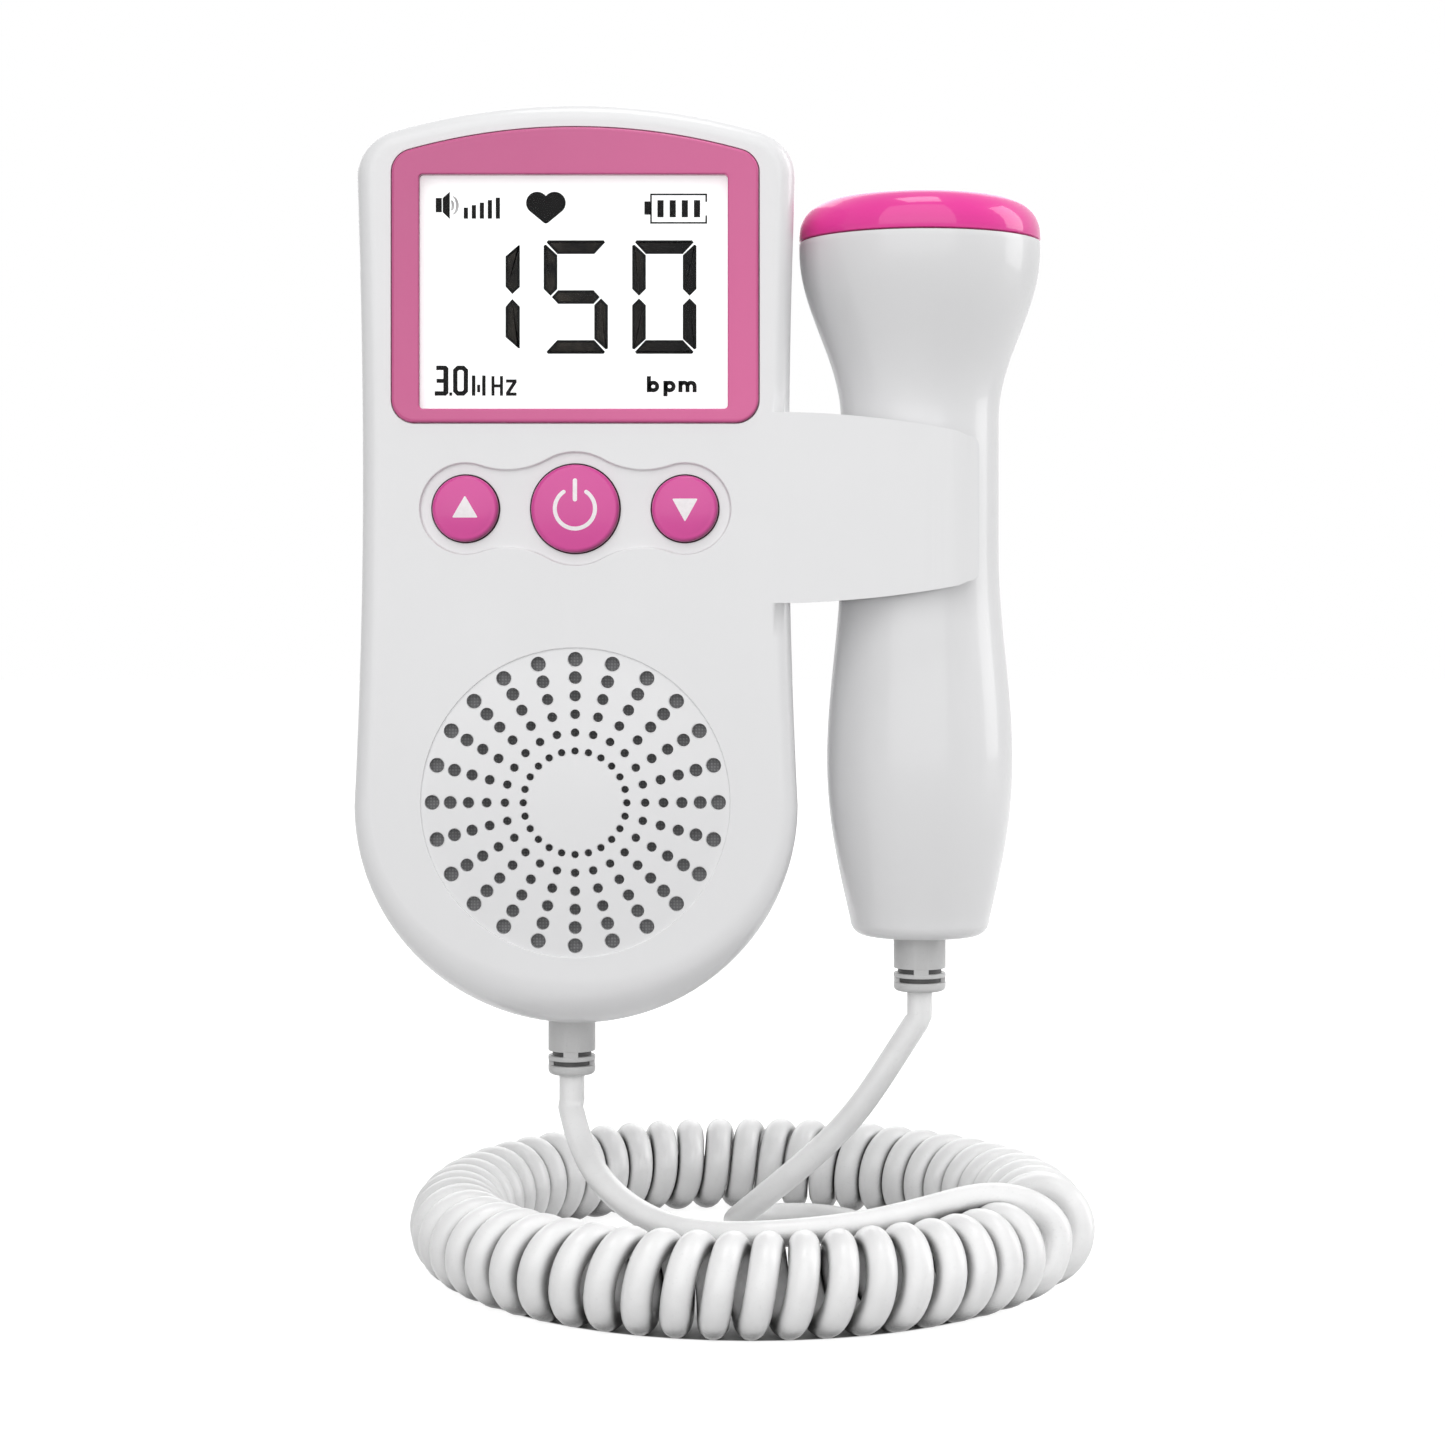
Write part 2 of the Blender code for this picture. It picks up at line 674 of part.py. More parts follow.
def boot_hole(name, x, level, finish):
    """The round hole that a strain relief's neck passes through."""
    radius = BOOT_NECK_RADIUS + GAP
    profile = [(0, -CUT_OVERRUN), (radius, -CUT_OVERRUN), (radius, CUT_OVERRUN), (0, CUT_OVERRUN)]
    return turned(name, profile, (x, PARTING, level), finish, steps=SMALL_ROUND_STEPS)


def screw_places():
    """The four screws' X and Z."""
    return [(x, FLOOR + height) for height in SCREW_HEIGHTS for x in (-SCREW_SPREAD, SCREW_SPREAD)]


def post_places():
    """X and Z of the two posts that hold the board's lower edge."""
    return [(x, FLOOR + POST_HEIGHT) for x in (-POST_SPREAD, POST_SPREAD)]


def pillar(name, place, radius, start, end, finish):
    """A round pillar along Y at an X, Z place."""
    return prism(name, circle(place, radius, SMALL_ROUND_STEPS), start, end, finish)


def make_front_cover(white):
    """Front shell with the bezel's pocket, buttons' recess, grille, clip arm and bosses."""
    seam = PARTING - GAP / 2
    cover = case_form("front_cover", FRONT, seam, True, white)
    cut(cover, case_hollow("hollow", FRONT, seam, True, white))
    join(cover, clip_arm("front", white))
    root = INNER_FRONT - WALL / 2
    for place in screw_places():
        boss = pillar("boss", place, BOSS_RADIUS, root, seam, white)
        join(cover, boss)
        bore = SCREW_RADIUS + GAP
        tip = -SCREW_SINK - SCREW_LENGTH - GAP
        cut(cover, pillar("bore", place, bore, tip, seam + CUT_OVERRUN, white))
    for place in post_places():
        join(cover, pillar("post", place, POST_RADIUS, root, BOARD_FRONT - GAP, white))
    ring_inner = SPEAKER_RADIUS + GAP
    ring_outer = ring_inner + SPEAKER_RING_WALL
    ring_end = INNER_FRONT + SPEAKER_RING_HEIGHT
    profile = [(ring_inner, root), (ring_outer, root), (ring_outer, ring_end), (ring_inner, ring_end)]
    join(cover, turned("speaker_ring", profile, (0, 0, GRILLE_CENTRE), white, along="Y"))
    open_air = FRONT - CUT_OVERRUN
    cut(
        cover,
        prism("pocket", bezel_outline(GAP), open_air, POCKET_FLOOR, white),
        prism("view", view_outline(LENS_MARGIN + GAP), open_air, INNER_FRONT + CUT_OVERRUN, white),
        prism("recess", recess_outline(), open_air, FRONT + BUTTON_RECESS_DEPTH, white),
    )
    for name, x, radius in button_places():
        hole = circle((x, BUTTON_ROW), radius + GAP, ROUND_STEPS)
        cut(cover, prism("button_hole", hole, open_air, INNER_FRONT + CUT_OVERRUN, white))
    dish = circle((0, GRILLE_CENTRE), DISH_RADIUS, ROUND_STEPS)
    cut(cover, prism("dish", dish, open_air, FRONT + DISH_DEPTH, white))
    cut(cover, grille_cutter(white), boot_hole("boot_hole", BOOT_X, FLOOR, white))
    return cover


def make_rear_cover(white):
    """Rear shell with the flat back, battery bay, sunk screw posts and the rear clip arm."""
    seam = PARTING + GAP / 2
    cover = case_form("rear_cover", seam, 0.0, False, white)
    cut(cover, case_hollow("hollow", seam, 0.0, False, white))
    join(cover, clip_arm("rear", white))
    root = -WALL / 2
    sink = SCREW_HEAD_RADIUS + GAP
    for place in screw_places():
        join(cover, pillar("post", place, sink + SINK_WALL, seam, root, white))
        cut(
            cover,
            pillar("sink", place, sink, -SCREW_SINK, CUT_OVERRUN, white),
            pillar("bore", place, SCREW_RADIUS + GAP, seam - CUT_OVERRUN, root, white),
        )
    for place in post_places():
        join(cover, pillar("stop", place, POST_RADIUS, BOARD_BACK + GAP, root, white))
    wall = GAP + BAY_WALL
    door_pan = rounded_box(
        DOOR_HALF_WIDTH + wall, DOOR_BOTTOM - wall, DOOR_TOP + wall, DOOR_CORNER + wall
    )
    join(cover, prism("pan", door_pan, DOOR_FLOOR - wall, root, white))
    low = (-BAY_HALF_WIDTH - BAY_WALL, BAY_FRONT - BAY_WALL, BAY_BOTTOM - BAY_WALL)
    high = (BAY_HALF_WIDTH + BAY_WALL, root, BAY_CEILING + BAY_WALL)
    join(cover, block("tub", low, high, white))
    seat = rounded_box(DOOR_HALF_WIDTH + GAP, DOOR_BOTTOM - GAP, DOOR_TOP + GAP, DOOR_CORNER + GAP)
    cut(
        cover,
        prism("seat", seat, DOOR_FLOOR - GAP, CUT_OVERRUN, white),
        block(
            "bay", (-BAY_HALF_WIDTH, BAY_FRONT, BAY_BOTTOM), (BAY_HALF_WIDTH, CUT_OVERRUN, BAY_CEILING),
            white,
        ),
        boot_hole("boot_hole", BOOT_X, FLOOR, white),
    )
    return cover


def make_display(pink, clear, glass, pale, grey):
    """Bezel, lens, panel, backlight and the holder that carries them on the board."""
    rings = [
        [Vector((x, BEZEL_BACK, z)) for x, z in bezel_outline(0.0)],
        [Vector((x, BEZEL_FRONT + BEZEL_PROUD, z)) for x, z in bezel_outline(0.0)],
        [Vector((x, BEZEL_FRONT, z)) for x, z in bezel_outline(-BEZEL_PROUD)],
    ]
    bezel = loft("display_bezel", rings, pink)
    open_air = BEZEL_FRONT - CUT_OVERRUN
    cut(bezel, prism("view", view_outline(0.0), open_air, BEZEL_BACK + CUT_OVERRUN, pink))
    lens = view_outline(LENS_MARGIN)
    prism("display_window", lens, POCKET_FLOOR, POCKET_FLOOR + LENS_THICKNESS, clear)
    panel = view_outline(PANEL_MARGIN)
    prism("lcd_panel", panel, PANEL_FRONT, PANEL_BACK, glass)
    prism("backlight", panel, PANEL_BACK + GAP, BACKLIGHT_BACK, pale)
    outer = view_outline(PANEL_MARGIN + GAP + HOLDER_WALL)
    holder = prism("lcd_holder", outer, PANEL_FRONT, HOLDER_BACK, grey)
    inner = view_outline(PANEL_MARGIN + GAP)
    cut(holder, prism("space", inner, PANEL_FRONT - CUT_OVERRUN, BACKLIGHT_BACK + GAP, grey))
    half = VIEW_WIDTH / 2
    for x in (-half, half - HOLDER_FOOT):
        for z in (VIEW_BOTTOM, VIEW_TOP - HOLDER_FOOT):
            low = (x, HOLDER_BACK - HOLDER_FLOOR / 2, z)
            high = (x + HOLDER_FOOT, BOARD_FRONT - GAP, z + HOLDER_FOOT)
            join(holder, block("foot", low, high, grey))


def make_buttons(pink, black, steel):
    """Three buttons, each with its switch on the board and the switch's plunger."""
    for name, x, radius in button_places():
        rim = FRONT - BUTTON_PROUD
        flange = INNER_FRONT + GAP
        chamfer = BUTTON_DOME
        profile = [
            (0, rim - BUTTON_DOME),
            (radius / 2, rim - BUTTON_DOME * 3 / 4),
            (radius - chamfer, rim),
            (radius, rim + chamfer),
            (radius, flange),
            (radius + FLANGE_WIDTH, flange),
            (radius + FLANGE_WIDTH, flange + FLANGE_THICKNESS),
            (STEM_RADIUS, flange + FLANGE_THICKNESS),
            (STEM_RADIUS, PLUNGER_FRONT - GAP),
            (0, PLUNGER_FRONT - GAP),
        ]
        button = turned("button_" + name, profile, (0, 0, 0), pink, along="Y")
        seat = BOARD_FRONT - GAP - SWITCH_HEIGHT
        low = (-SWITCH_SIZE / 2, seat, -SWITCH_SIZE / 2)
        high = (SWITCH_SIZE / 2, BOARD_FRONT - GAP, SWITCH_SIZE / 2)
        switch = block("switch_" + name, low, high, black)
        depth = PLUNGER_SEAT + BUTTON_TRAVEL + GAP
        bore = pillar("bore", (0, 0), PLUNGER_RADIUS + GAP, seat - CUT_OVERRUN, seat + depth, black)
        cut(switch, bore)
        end = seat + PLUNGER_SEAT
        plunger = pillar("plunger_" + name, (0, 0), PLUNGER_RADIUS, PLUNGER_FRONT, end, steel)
        for piece in (button, switch, plunger):
            piece.location = (x, 0, BUTTON_ROW)


def make_speaker(cloth, steel, paper, black):
    """Cloth, basket, cone and magnet behind the grille."""
    centre = (0, 0, GRILLE_CENTRE)
    face = circle((0, GRILLE_CENTRE), SPEAKER_RADIUS, ROUND_STEPS)
    prism("speaker_cloth", face, INNER_FRONT + GAP, CLOTH_BACK, cloth)
    seat = SPEAKER_RADIUS - SPEAKER_SEAT_WIDTH
    waist = MAGNET_RADIUS
    hole = COIL_RADIUS + CONE_SHEET + GAP
    frame = [
        (SPEAKER_RADIUS, 0),
        (SPEAKER_RADIUS, SPEAKER_SHEET),
        (seat, SPEAKER_SHEET),
        (waist, SPEAKER_DEPTH),
        (hole, SPEAKER_DEPTH),
        (hole, SPEAKER_DEPTH - SPEAKER_SHEET),
        (waist - SPEAKER_SHEET / 2, SPEAKER_DEPTH - SPEAKER_SHEET),
        (seat - SPEAKER_SHEET / 2, 0),
    ]
    place = (0, SPEAKER_FRONT, GRILLE_CENTRE)
    turned("speaker_frame", frame, place, steel, along="Y", steps=ROUND_STEPS * 2 // 3)
    rim = CONE_RIM_SETBACK
    edge = seat - CONE_MARGIN
    base = rim + CONE_DEPTH
    coil_end = SPEAKER_DEPTH - CONE_TRAVEL
    cone = [
        (0, base - SPEAKER_SHEET),
        (COIL_RADIUS, base),
        (edge, rim),
        (edge, rim + CONE_SHEET),
        (COIL_RADIUS, base + CONE_SHEET),
        (COIL_RADIUS, coil_end),
        (COIL_RADIUS - CONE_SHEET, coil_end),
        (COIL_RADIUS - CONE_SHEET, base + CONE_SHEET),
        (0, base),
    ]
    turned("speaker_cone", cone, place, paper, along="Y", steps=ROUND_STEPS * 2 // 3)
    start = SPEAKER_BACK + GAP
    magnet = [(0, start), (MAGNET_RADIUS, start), (MAGNET_RADIUS, start + MAGNET_DEPTH)]
    magnet.append((0, start + MAGNET_DEPTH))
    turned("speaker_magnet", magnet, centre, black, along="Y")


def make_boards(green, black, pale):
    """Main board with its chip and the probe cable's socket."""
    low = (-BOARD_WIDTH / 2, BOARD_FRONT, FLOOR + BOARD_BOTTOM)
    high = (BOARD_WIDTH / 2, BOARD_BACK, FLOOR + BOARD_TOP)
    block("main_board", low, high, green)
    start = BOARD_BACK + GAP
    half = CHIP_SIZE / 2
    middle = FLOOR + CHIP_HEIGHT
    block("main_chip", (-half, start, middle - half), (half, start + CHIP_THICKNESS, middle + half), black)
    bottom = FLOOR + BOARD_BOTTOM + SOCKET_LENGTH
    low = (-SOCKET_WIDTH / 2, start, bottom)
    high = (SOCKET_WIDTH / 2, start + SOCKET_DEPTH, bottom + SOCKET_LENGTH)
    block("probe_socket", low, high, pale)


def make_power(steel, label, white):
    """Two cells with their contacts, and the door over them."""
    nub_base = CELL_LENGTH - CELL_NUB_LENGTH
    profile = [
        (0, 0),
        (CELL_RADIUS, 0),
        (CELL_RADIUS, nub_base),
        (CELL_NUB_RADIUS, nub_base),
        (CELL_NUB_RADIUS, CELL_LENGTH),
        (0, CELL_LENGTH),
    ]
    flipped = [(radius, CELL_LENGTH - level) for radius, level in reversed(profile)]
    half = CELL_SPACING / 2
    steps = SMALL_ROUND_STEPS + 2
    turned("battery_left", profile, (-half, CELL_DEPTH, CELL_BOTTOM), label, steps=steps)
    turned("battery_right", flipped, (half, CELL_DEPTH, CELL_BOTTOM), label, steps=steps)
    ceiling = BAY_CEILING - GAP
    ground = BAY_BOTTOM + GAP
    reach = CONTACT_WIDTH / 2
    for name, x in (("contact_plus", -half), ("contact_minus", half)):
        low = (x - reach, CELL_DEPTH - reach, ceiling - CONTACT_THICKNESS)
        plate = block(name, low, (x + reach, CELL_DEPTH + reach, ceiling), steel)
        join(plate, bump(x, ceiling - CONTACT_THICKNESS / 2, -1, steel))
    low = (-half - reach, CELL_DEPTH - reach, ground)
    high = (half + reach, CELL_DEPTH + reach, ground + CONTACT_THICKNESS)
    bridge = block("contact_bridge", low, high, steel)
    for x in (-half, half):
        join(bridge, bump(x, ground + CONTACT_THICKNESS / 2, 1, steel))
    outline = rounded_box(DOOR_HALF_WIDTH, DOOR_BOTTOM, DOOR_TOP, DOOR_CORNER)
    door = prism("battery_door", outline, DOOR_FLOOR, 0.0, white)
    tongue_top = BAY_CEILING - GAP
    low = (-LATCH_WIDTH / 2, DOOR_FLOOR - LATCH_DEPTH, tongue_top - LATCH_THICKNESS)
    join(door, block("latch", low, (LATCH_WIDTH / 2, DOOR_FLOOR / 2, tongue_top), white))
    for groove in range(GRIP_GROOVES):
        top = DOOR_TOP - DOOR_CORNER - GRIP_PITCH * groove
        low = (-GRIP_LENGTH / 2, -GRIP_DEPTH, top - GRIP_WIDTH)
        cut(door, block("groove", low, (GRIP_LENGTH / 2, CUT_OVERRUN, top), white))


def bump(x, level, direction, finish):
    """The round bump on a contact plate, pointing up or down from the level."""
    height = direction * (CONTACT_BUMP + CONTACT_THICKNESS / 2)
    radius = CELL_NUB_RADIUS
    profile = [(0, 0), (radius, 0), (radius, height), (0, height)]
    return turned("bump", profile, (x, CELL_DEPTH, level), finish, steps=SMALL_ROUND_STEPS)


def make_screws(steel):
    """Four screws from the back, each with a slotted head."""
    for number, (x, z) in enumerate(screw_places(), 1):
        profile = [
            (0, SCREW_HEAD_HEIGHT),
            (SCREW_HEAD_RADIUS, SCREW_HEAD_HEIGHT),
            (SCREW_HEAD_RADIUS, GAP),
            (SCREW_RADIUS, GAP),
            (SCREW_RADIUS, -SCREW_LENGTH),
            (0, -SCREW_LENGTH),
        ]
        name = f"case_screw_{number}"
        screw = turned(name, profile, (0, 0, 0), steel, along="Y", steps=SMALL_ROUND_STEPS)
        half = SCREW_SLOT_WIDTH / 2
        low = (-SCREW_HEAD_RADIUS - half, SCREW_HEAD_HEIGHT - SCREW_SLOT_DEPTH, -half)
        high = (SCREW_HEAD_RADIUS + half, SCREW_HEAD_HEIGHT + CUT_OVERRUN, half)
        cut(screw, block("slot", low, high, steel))
        screw.location = (x, -SCREW_SINK, z)


def eased(low, high, share):
    """From low to high with a level start and a level end."""
    return low + (high - low) * (1 - math.cos(math.pi * share)) / 2


def probe_outer():
    """The probe's shell from its tail to the cap's edge, as (radius, height) points."""
    grip = PROBE_BOTTOM + SHELL_LENGTH * GRIP_SHARE
    tail = PROBE_BOTTOM + SHELL_LENGTH * TAIL_SHARE
    neck_low = PROBE_BOTTOM + SHELL_LENGTH * NECK_LOW_SHARE
    neck_high = PROBE_BOTTOM + SHELL_LENGTH * NECK_HIGH_SHARE
    head = PROBE_BOTTOM + SHELL_LENGTH * HEAD_SHARE
    points = [(TAIL_RADIUS, PROBE_BOTTOM)]
    points.append(((TAIL_RADIUS + 2 * TAIL_SIDE_RADIUS) / 3, PROBE_BOTTOM + (tail - PROBE_BOTTOM) / 3))
    for share in (0.0, 0.3, 0.6, 0.85):
        rise = math.sin(math.pi / 2 * share)
        radius = TAIL_SIDE_RADIUS + (GRIP_RADIUS - TAIL_SIDE_RADIUS) * rise
        points.append((radius, tail + (grip - tail) * share))
    for share in (0.0, 0.25, 0.5, 0.75, 1.0):
        points.append((eased(GRIP_RADIUS, NECK_RADIUS, share), grip + (neck_low - grip) * share))
    for share in (0.0, 0.2, 0.35, 0.5, 0.65, 0.8, 1.0):
        height = neck_high + (head - neck_high) * share
        points.append((eased(NECK_RADIUS, HEAD_RADIUS, share), height))
    return points


def probe_shell_profile():
    """The shell's closed profile: outer side, the spigot under the cap, and the inner side."""
    outer = probe_outer()
    spigot = HEAD_RADIUS - CAP_WALL - GAP
    shelf = CAP_EDGE - GAP
    hole = BOOT_NECK_RADIUS + GAP
    inner = [(radius - SHELL_WALL, height) for radius, height in outer[3::2]]
    floor = PROBE_BOTTOM + SHELL_WALL
    points = [(hole, PROBE_BOTTOM), *outer, (HEAD_RADIUS, shelf), (spigot, shelf), (spigot, CAP_SIDE)]
    points.append((spigot - SHELL_WALL, CAP_SIDE))
    points += reversed(inner)
    points += [(TAIL_RADIUS, floor + SHELL_WALL), (TAIL_RADIUS - SHELL_WALL, floor), (hole, floor)]
    return points


def probe_cap_profile():
    """The cap's open profile, from the middle of its top round its edge to the middle inside."""
    flat = HEAD_RADIUS - CAP_ROUND
    rounding = [
        (flat + CAP_ROUND * math.sin(turn), CAP_SIDE + CAP_ROUND * math.cos(turn))
        for turn in (0, math.pi / 6, math.pi / 3, math.pi / 2)
    ]
    inner = HEAD_RADIUS - CAP_WALL
    inner_round = CAP_ROUND - CAP_WALL
    ceiling = PROBE_TOP - CAP_DOME - CAP_WALL
    points = [(0, PROBE_TOP), *rounding, (HEAD_RADIUS, CAP_EDGE), (inner, CAP_EDGE)]
    diagonal = inner_round * math.sqrt(0.5)
    points += [(inner, CAP_SIDE), (flat + diagonal, CAP_SIDE + diagonal)]
    points += [(flat, ceiling), (0, ceiling)]
    return points


def boot_profile(top, radius, length, wall):
    """A strain relief as (radius, height) points: flange inside the wall, neck, slotted sleeve and lip."""
    inside = top + wall + GAP
    sleeve = top - GAP
    end = sleeve - length
    slot = radius - BOOT_SLOT_DEPTH
    first = end + length / 3
    second = end + length / 6
    return [
        (0, inside + BOOT_FLANGE_THICKNESS),
        (BOOT_FLANGE_RADIUS, inside + BOOT_FLANGE_THICKNESS),
        (BOOT_FLANGE_RADIUS, inside),
        (BOOT_NECK_RADIUS, inside),
        (BOOT_NECK_RADIUS, sleeve),
        (radius, sleeve),
        (radius, first + BOOT_SLOT),
        (slot, first + BOOT_SLOT),
        (slot, first),
        (radius, first),
        (radius, second + BOOT_SLOT),
        (slot, second + BOOT_SLOT),
        (slot, second),
        (radius, second),
        (radius, end + BOOT_SLOT),
        (radius - BOOT_SLOT, end),
        (0, end),
    ]


def make_probe(white, pink, ceramic, backing, green, rubber):
    """The probe: two shell halves, cap, sender, receiver, backing, board and strain relief."""
    axis = (PROBE_OFFSET, PARTING, 0)
    profile = probe_shell_profile()
    for half, shift in (("front", -GAP / 2), ("rear", GAP / 2)):
        place = (PROBE_OFFSET, PARTING + shift, 0)
        turned(f"probe_{half}_shell", profile, place, white, steps=ROUND_STEPS // 2, half=half)
    turned("probe_cap", probe_cap_profile(), axis, pink)
    top = PROBE_TOP - CAP_DOME - CAP_WALL - GAP
    spread = math.acos(SENDER_SPLIT / 2 / SENDER_RADIUS)
    for name, turn in (("transducer_sender", 0.0), ("transducer_receiver", math.pi)):
        edge = arc((PROBE_OFFSET, PARTING), SENDER_RADIUS, turn - spread, turn + spread, 2 * ARC_STEPS)
        outline = [point[:2] for point in edge]
        prism(name, outline, top - SENDER_THICKNESS, top, ceramic, along="Z")
    backing_radius = HEAD_RADIUS - CAP_WALL - SHELL_WALL - 2 * GAP
    start = top - SENDER_THICKNESS - GAP
    disc = [(0, start), (backing_radius, start), (backing_radius, start - BACKING_THICKNESS)]
    disc.append((0, start - BACKING_THICKNESS))
    turned("transducer_backing", disc, axis, backing)
    bore = NECK_RADIUS - SHELL_WALL
    half_width = math.sqrt(bore**2 - (PROBE_BOARD_THICKNESS / 2 + GAP) ** 2) - GAP
    neck = PROBE_BOTTOM + SHELL_LENGTH * (NECK_LOW_SHARE + NECK_HIGH_SHARE) / 2
    low = (PROBE_OFFSET - half_width, PARTING - PROBE_BOARD_THICKNESS / 2, neck - PROBE_BOARD_LENGTH / 2)
    high = (PROBE_OFFSET + half_width, PARTING + PROBE_BOARD_THICKNESS / 2, neck + PROBE_BOARD_LENGTH / 2)
    block("probe_board", low, high, green)
    boot = boot_profile(PROBE_BOTTOM, PROBE_BOOT_RADIUS, PROBE_BOOT_LENGTH, SHELL_WALL)
    turned("probe_strain_relief", boot, axis, rubber, steps=SMALL_ROUND_STEPS)


def curl_place(turn):
    """The curly cord's centreline: the turn runs from the first curl's bottom, in radians."""
    bearing = CURL_START + turn / CURLS_PER_CIRCLE + CURL_STRETCH * (1 - math.exp(-turn / CURL_EASE))
    radius = CURL_RADIUS + CURL_SWELL * math.exp(-turn / CURL_EASE)
    away = RING_RADIUS + radius * math.sin(turn)
    height = SURFACE + CORD_RADIUS + radius * (1 - math.cos(turn))
    return Vector((RING_X + away * math.cos(bearing), RING_Y + away * math.sin(bearing), height))


def curl_end(turn, side):
    """The unit direction in which the cord leaves the curls at the turn, forward (1) or back (-1)."""
    return (curl_place(turn + side * CURL_END_STEP) - curl_place(turn)).normalized()


def smooth_route(points):
    """Evenly spaced points of a smooth curve through the route's own points.

    The first and last stretches stay straight, as the cord leaves its exits.
    """
    points = [Vector(point) for point in points]
    fine = []
    for before, start, end, after in zip(points, points[1:], points[2:], points[3:]):
        for step in range(ROUTE_STEPS):
            share = step / ROUTE_STEPS
            bend = 2 * before - 5 * start + 4 * end - after
            twist = 3 * start - before - 3 * end + after
            fine.append((2 * start + (end - before) * share + bend * share**2 + twist * share**3) / 2)
    fine.append(points[-2])
    reach = [0.0]
    for left, right in zip(fine, fine[1:]):
        reach.append(reach[-1] + (right - left).length)
    count = max(2, round(reach[-1] / CORD_POINT_SPACING))
    even = []
    index = 0
    for number in range(count + 1):
        goal = reach[-1] * number / count
        while index < len(reach) - 2 and reach[index + 1] < goal:
            index += 1
        share = (goal - reach[index]) / (reach[index + 1] - reach[index])
        even.append(fine[index] + (fine[index + 1] - fine[index]) * share)
    return [points[0], *even, points[-1]]


def tube(name, points, sides_resolution, finish):
    """A closed round tube along the points."""
    curve = bpy.data.curves.new(name, "CURVE")
    curve.dimensions = "3D"
    curve.bevel_depth = CORD_RADIUS
    curve.bevel_resolution = sides_resolution
    curve.use_fill_caps = True
    curve.twist_mode = "MINIMUM"
    spline = curve.splines.new("POLY")
    spline.points.add(len(points) - 1)
    for place, point in zip(spline.points, points):
        place.co = (*point, 1.0)
    curve.materials.append(finish)
    made = bpy.data.objects.new(name, curve)
    bpy.context.scene.collection.objects.link(made)
    return made


def length_of(points):
    return sum((right - left).length for left, right in zip(points, points[1:]))


def least_curl_gap(turns):
    """The least gap between the curly cord and itself, measured on points along its centreline."""
    step = math.tau / GAP_POINTS_PER_CURL
    places = [curl_place(step * index) for index in range(int(turns / step) + 1)]
    nearest = math.inf
    for index, place in enumerate(places):
        start = index + GAP_POINTS_PER_CURL // 2
        for other in places[start : start + GAP_POINTS_PER_CURL]:
            nearest = min(nearest, (other - place).length)
    return nearest - 2 * CORD_RADIUS


def make_cord(rubber):
    """The cord in one line: from the unit down to the ring of curls, round it, and up to the probe."""
    run = 2 * CORD_RADIUS
    turns = math.tau * WHOLE_CURLS + math.pi / 2 + CURL_END_LEAN
    into = curl_end(0, -1)
    out = curl_end(turns, 1)
    curls = [curl_place(0) + into * run]
    steps = round(turns / math.tau * POINTS_PER_CURL)
    curls += [curl_place(turns * step / steps) for step in range(steps + 1)]
    curls.append(curl_place(turns) + out * run)
    tube("curly_cord", curls, 1, rubber)

    unit_exit = Vector((BOOT_X, PARTING, FLOOR - GAP - BOOT_LENGTH - GAP))
    probe_exit = Vector((PROBE_OFFSET, PARTING, PROBE_BOTTOM - GAP - PROBE_BOOT_LENGTH - GAP))
    down = Vector((0, 0, -run))
    unit_route = [unit_exit, unit_exit + down, *UNIT_LEAD_ROUTE]
    unit_route += [curls[-1] + out * (GAP + run), curls[-1] + out * GAP]
    probe_route = [probe_exit, probe_exit + down, *PROBE_LEAD_ROUTE]
    probe_route += [curls[0] + into * (GAP + run), curls[0] + into * GAP]
    unit_points = smooth_route(unit_route)
    probe_points = smooth_route(probe_route)
    tube("cord_unit_lead", unit_points, 2, rubber)
    tube("cord_probe_lead", probe_points, 2, rubber)
    total = sum(length_of(points) for points in (unit_points, curls, probe_points))
    print(f"cord: {total:.3f} m in all, {turns / math.tau:.1f} curls, {length_of(unit_points):.3f} m")
    print(f"probe lead {length_of(probe_points):.3f} m, {len(unit_points) + len(probe_points)} points")
    print(f"least gap between curls: {least_curl_gap(turns) * 1000:.2f} mm")


def make_unit_boot(rubber):
    """The strain relief under the unit, held between the two covers."""
    inner = CHIN_RADIUS - WALL
    rise = inner - math.sqrt(inner**2 - (BOOT_OFFSET + BOOT_FLANGE_RADIUS) ** 2)
    boot = boot_profile(FLOOR, BOOT_RADIUS, BOOT_LENGTH, WALL + rise)
    turned("unit_strain_relief", boot, (BOOT_X, PARTING, 0), rubber, steps=SMALL_ROUND_STEPS)


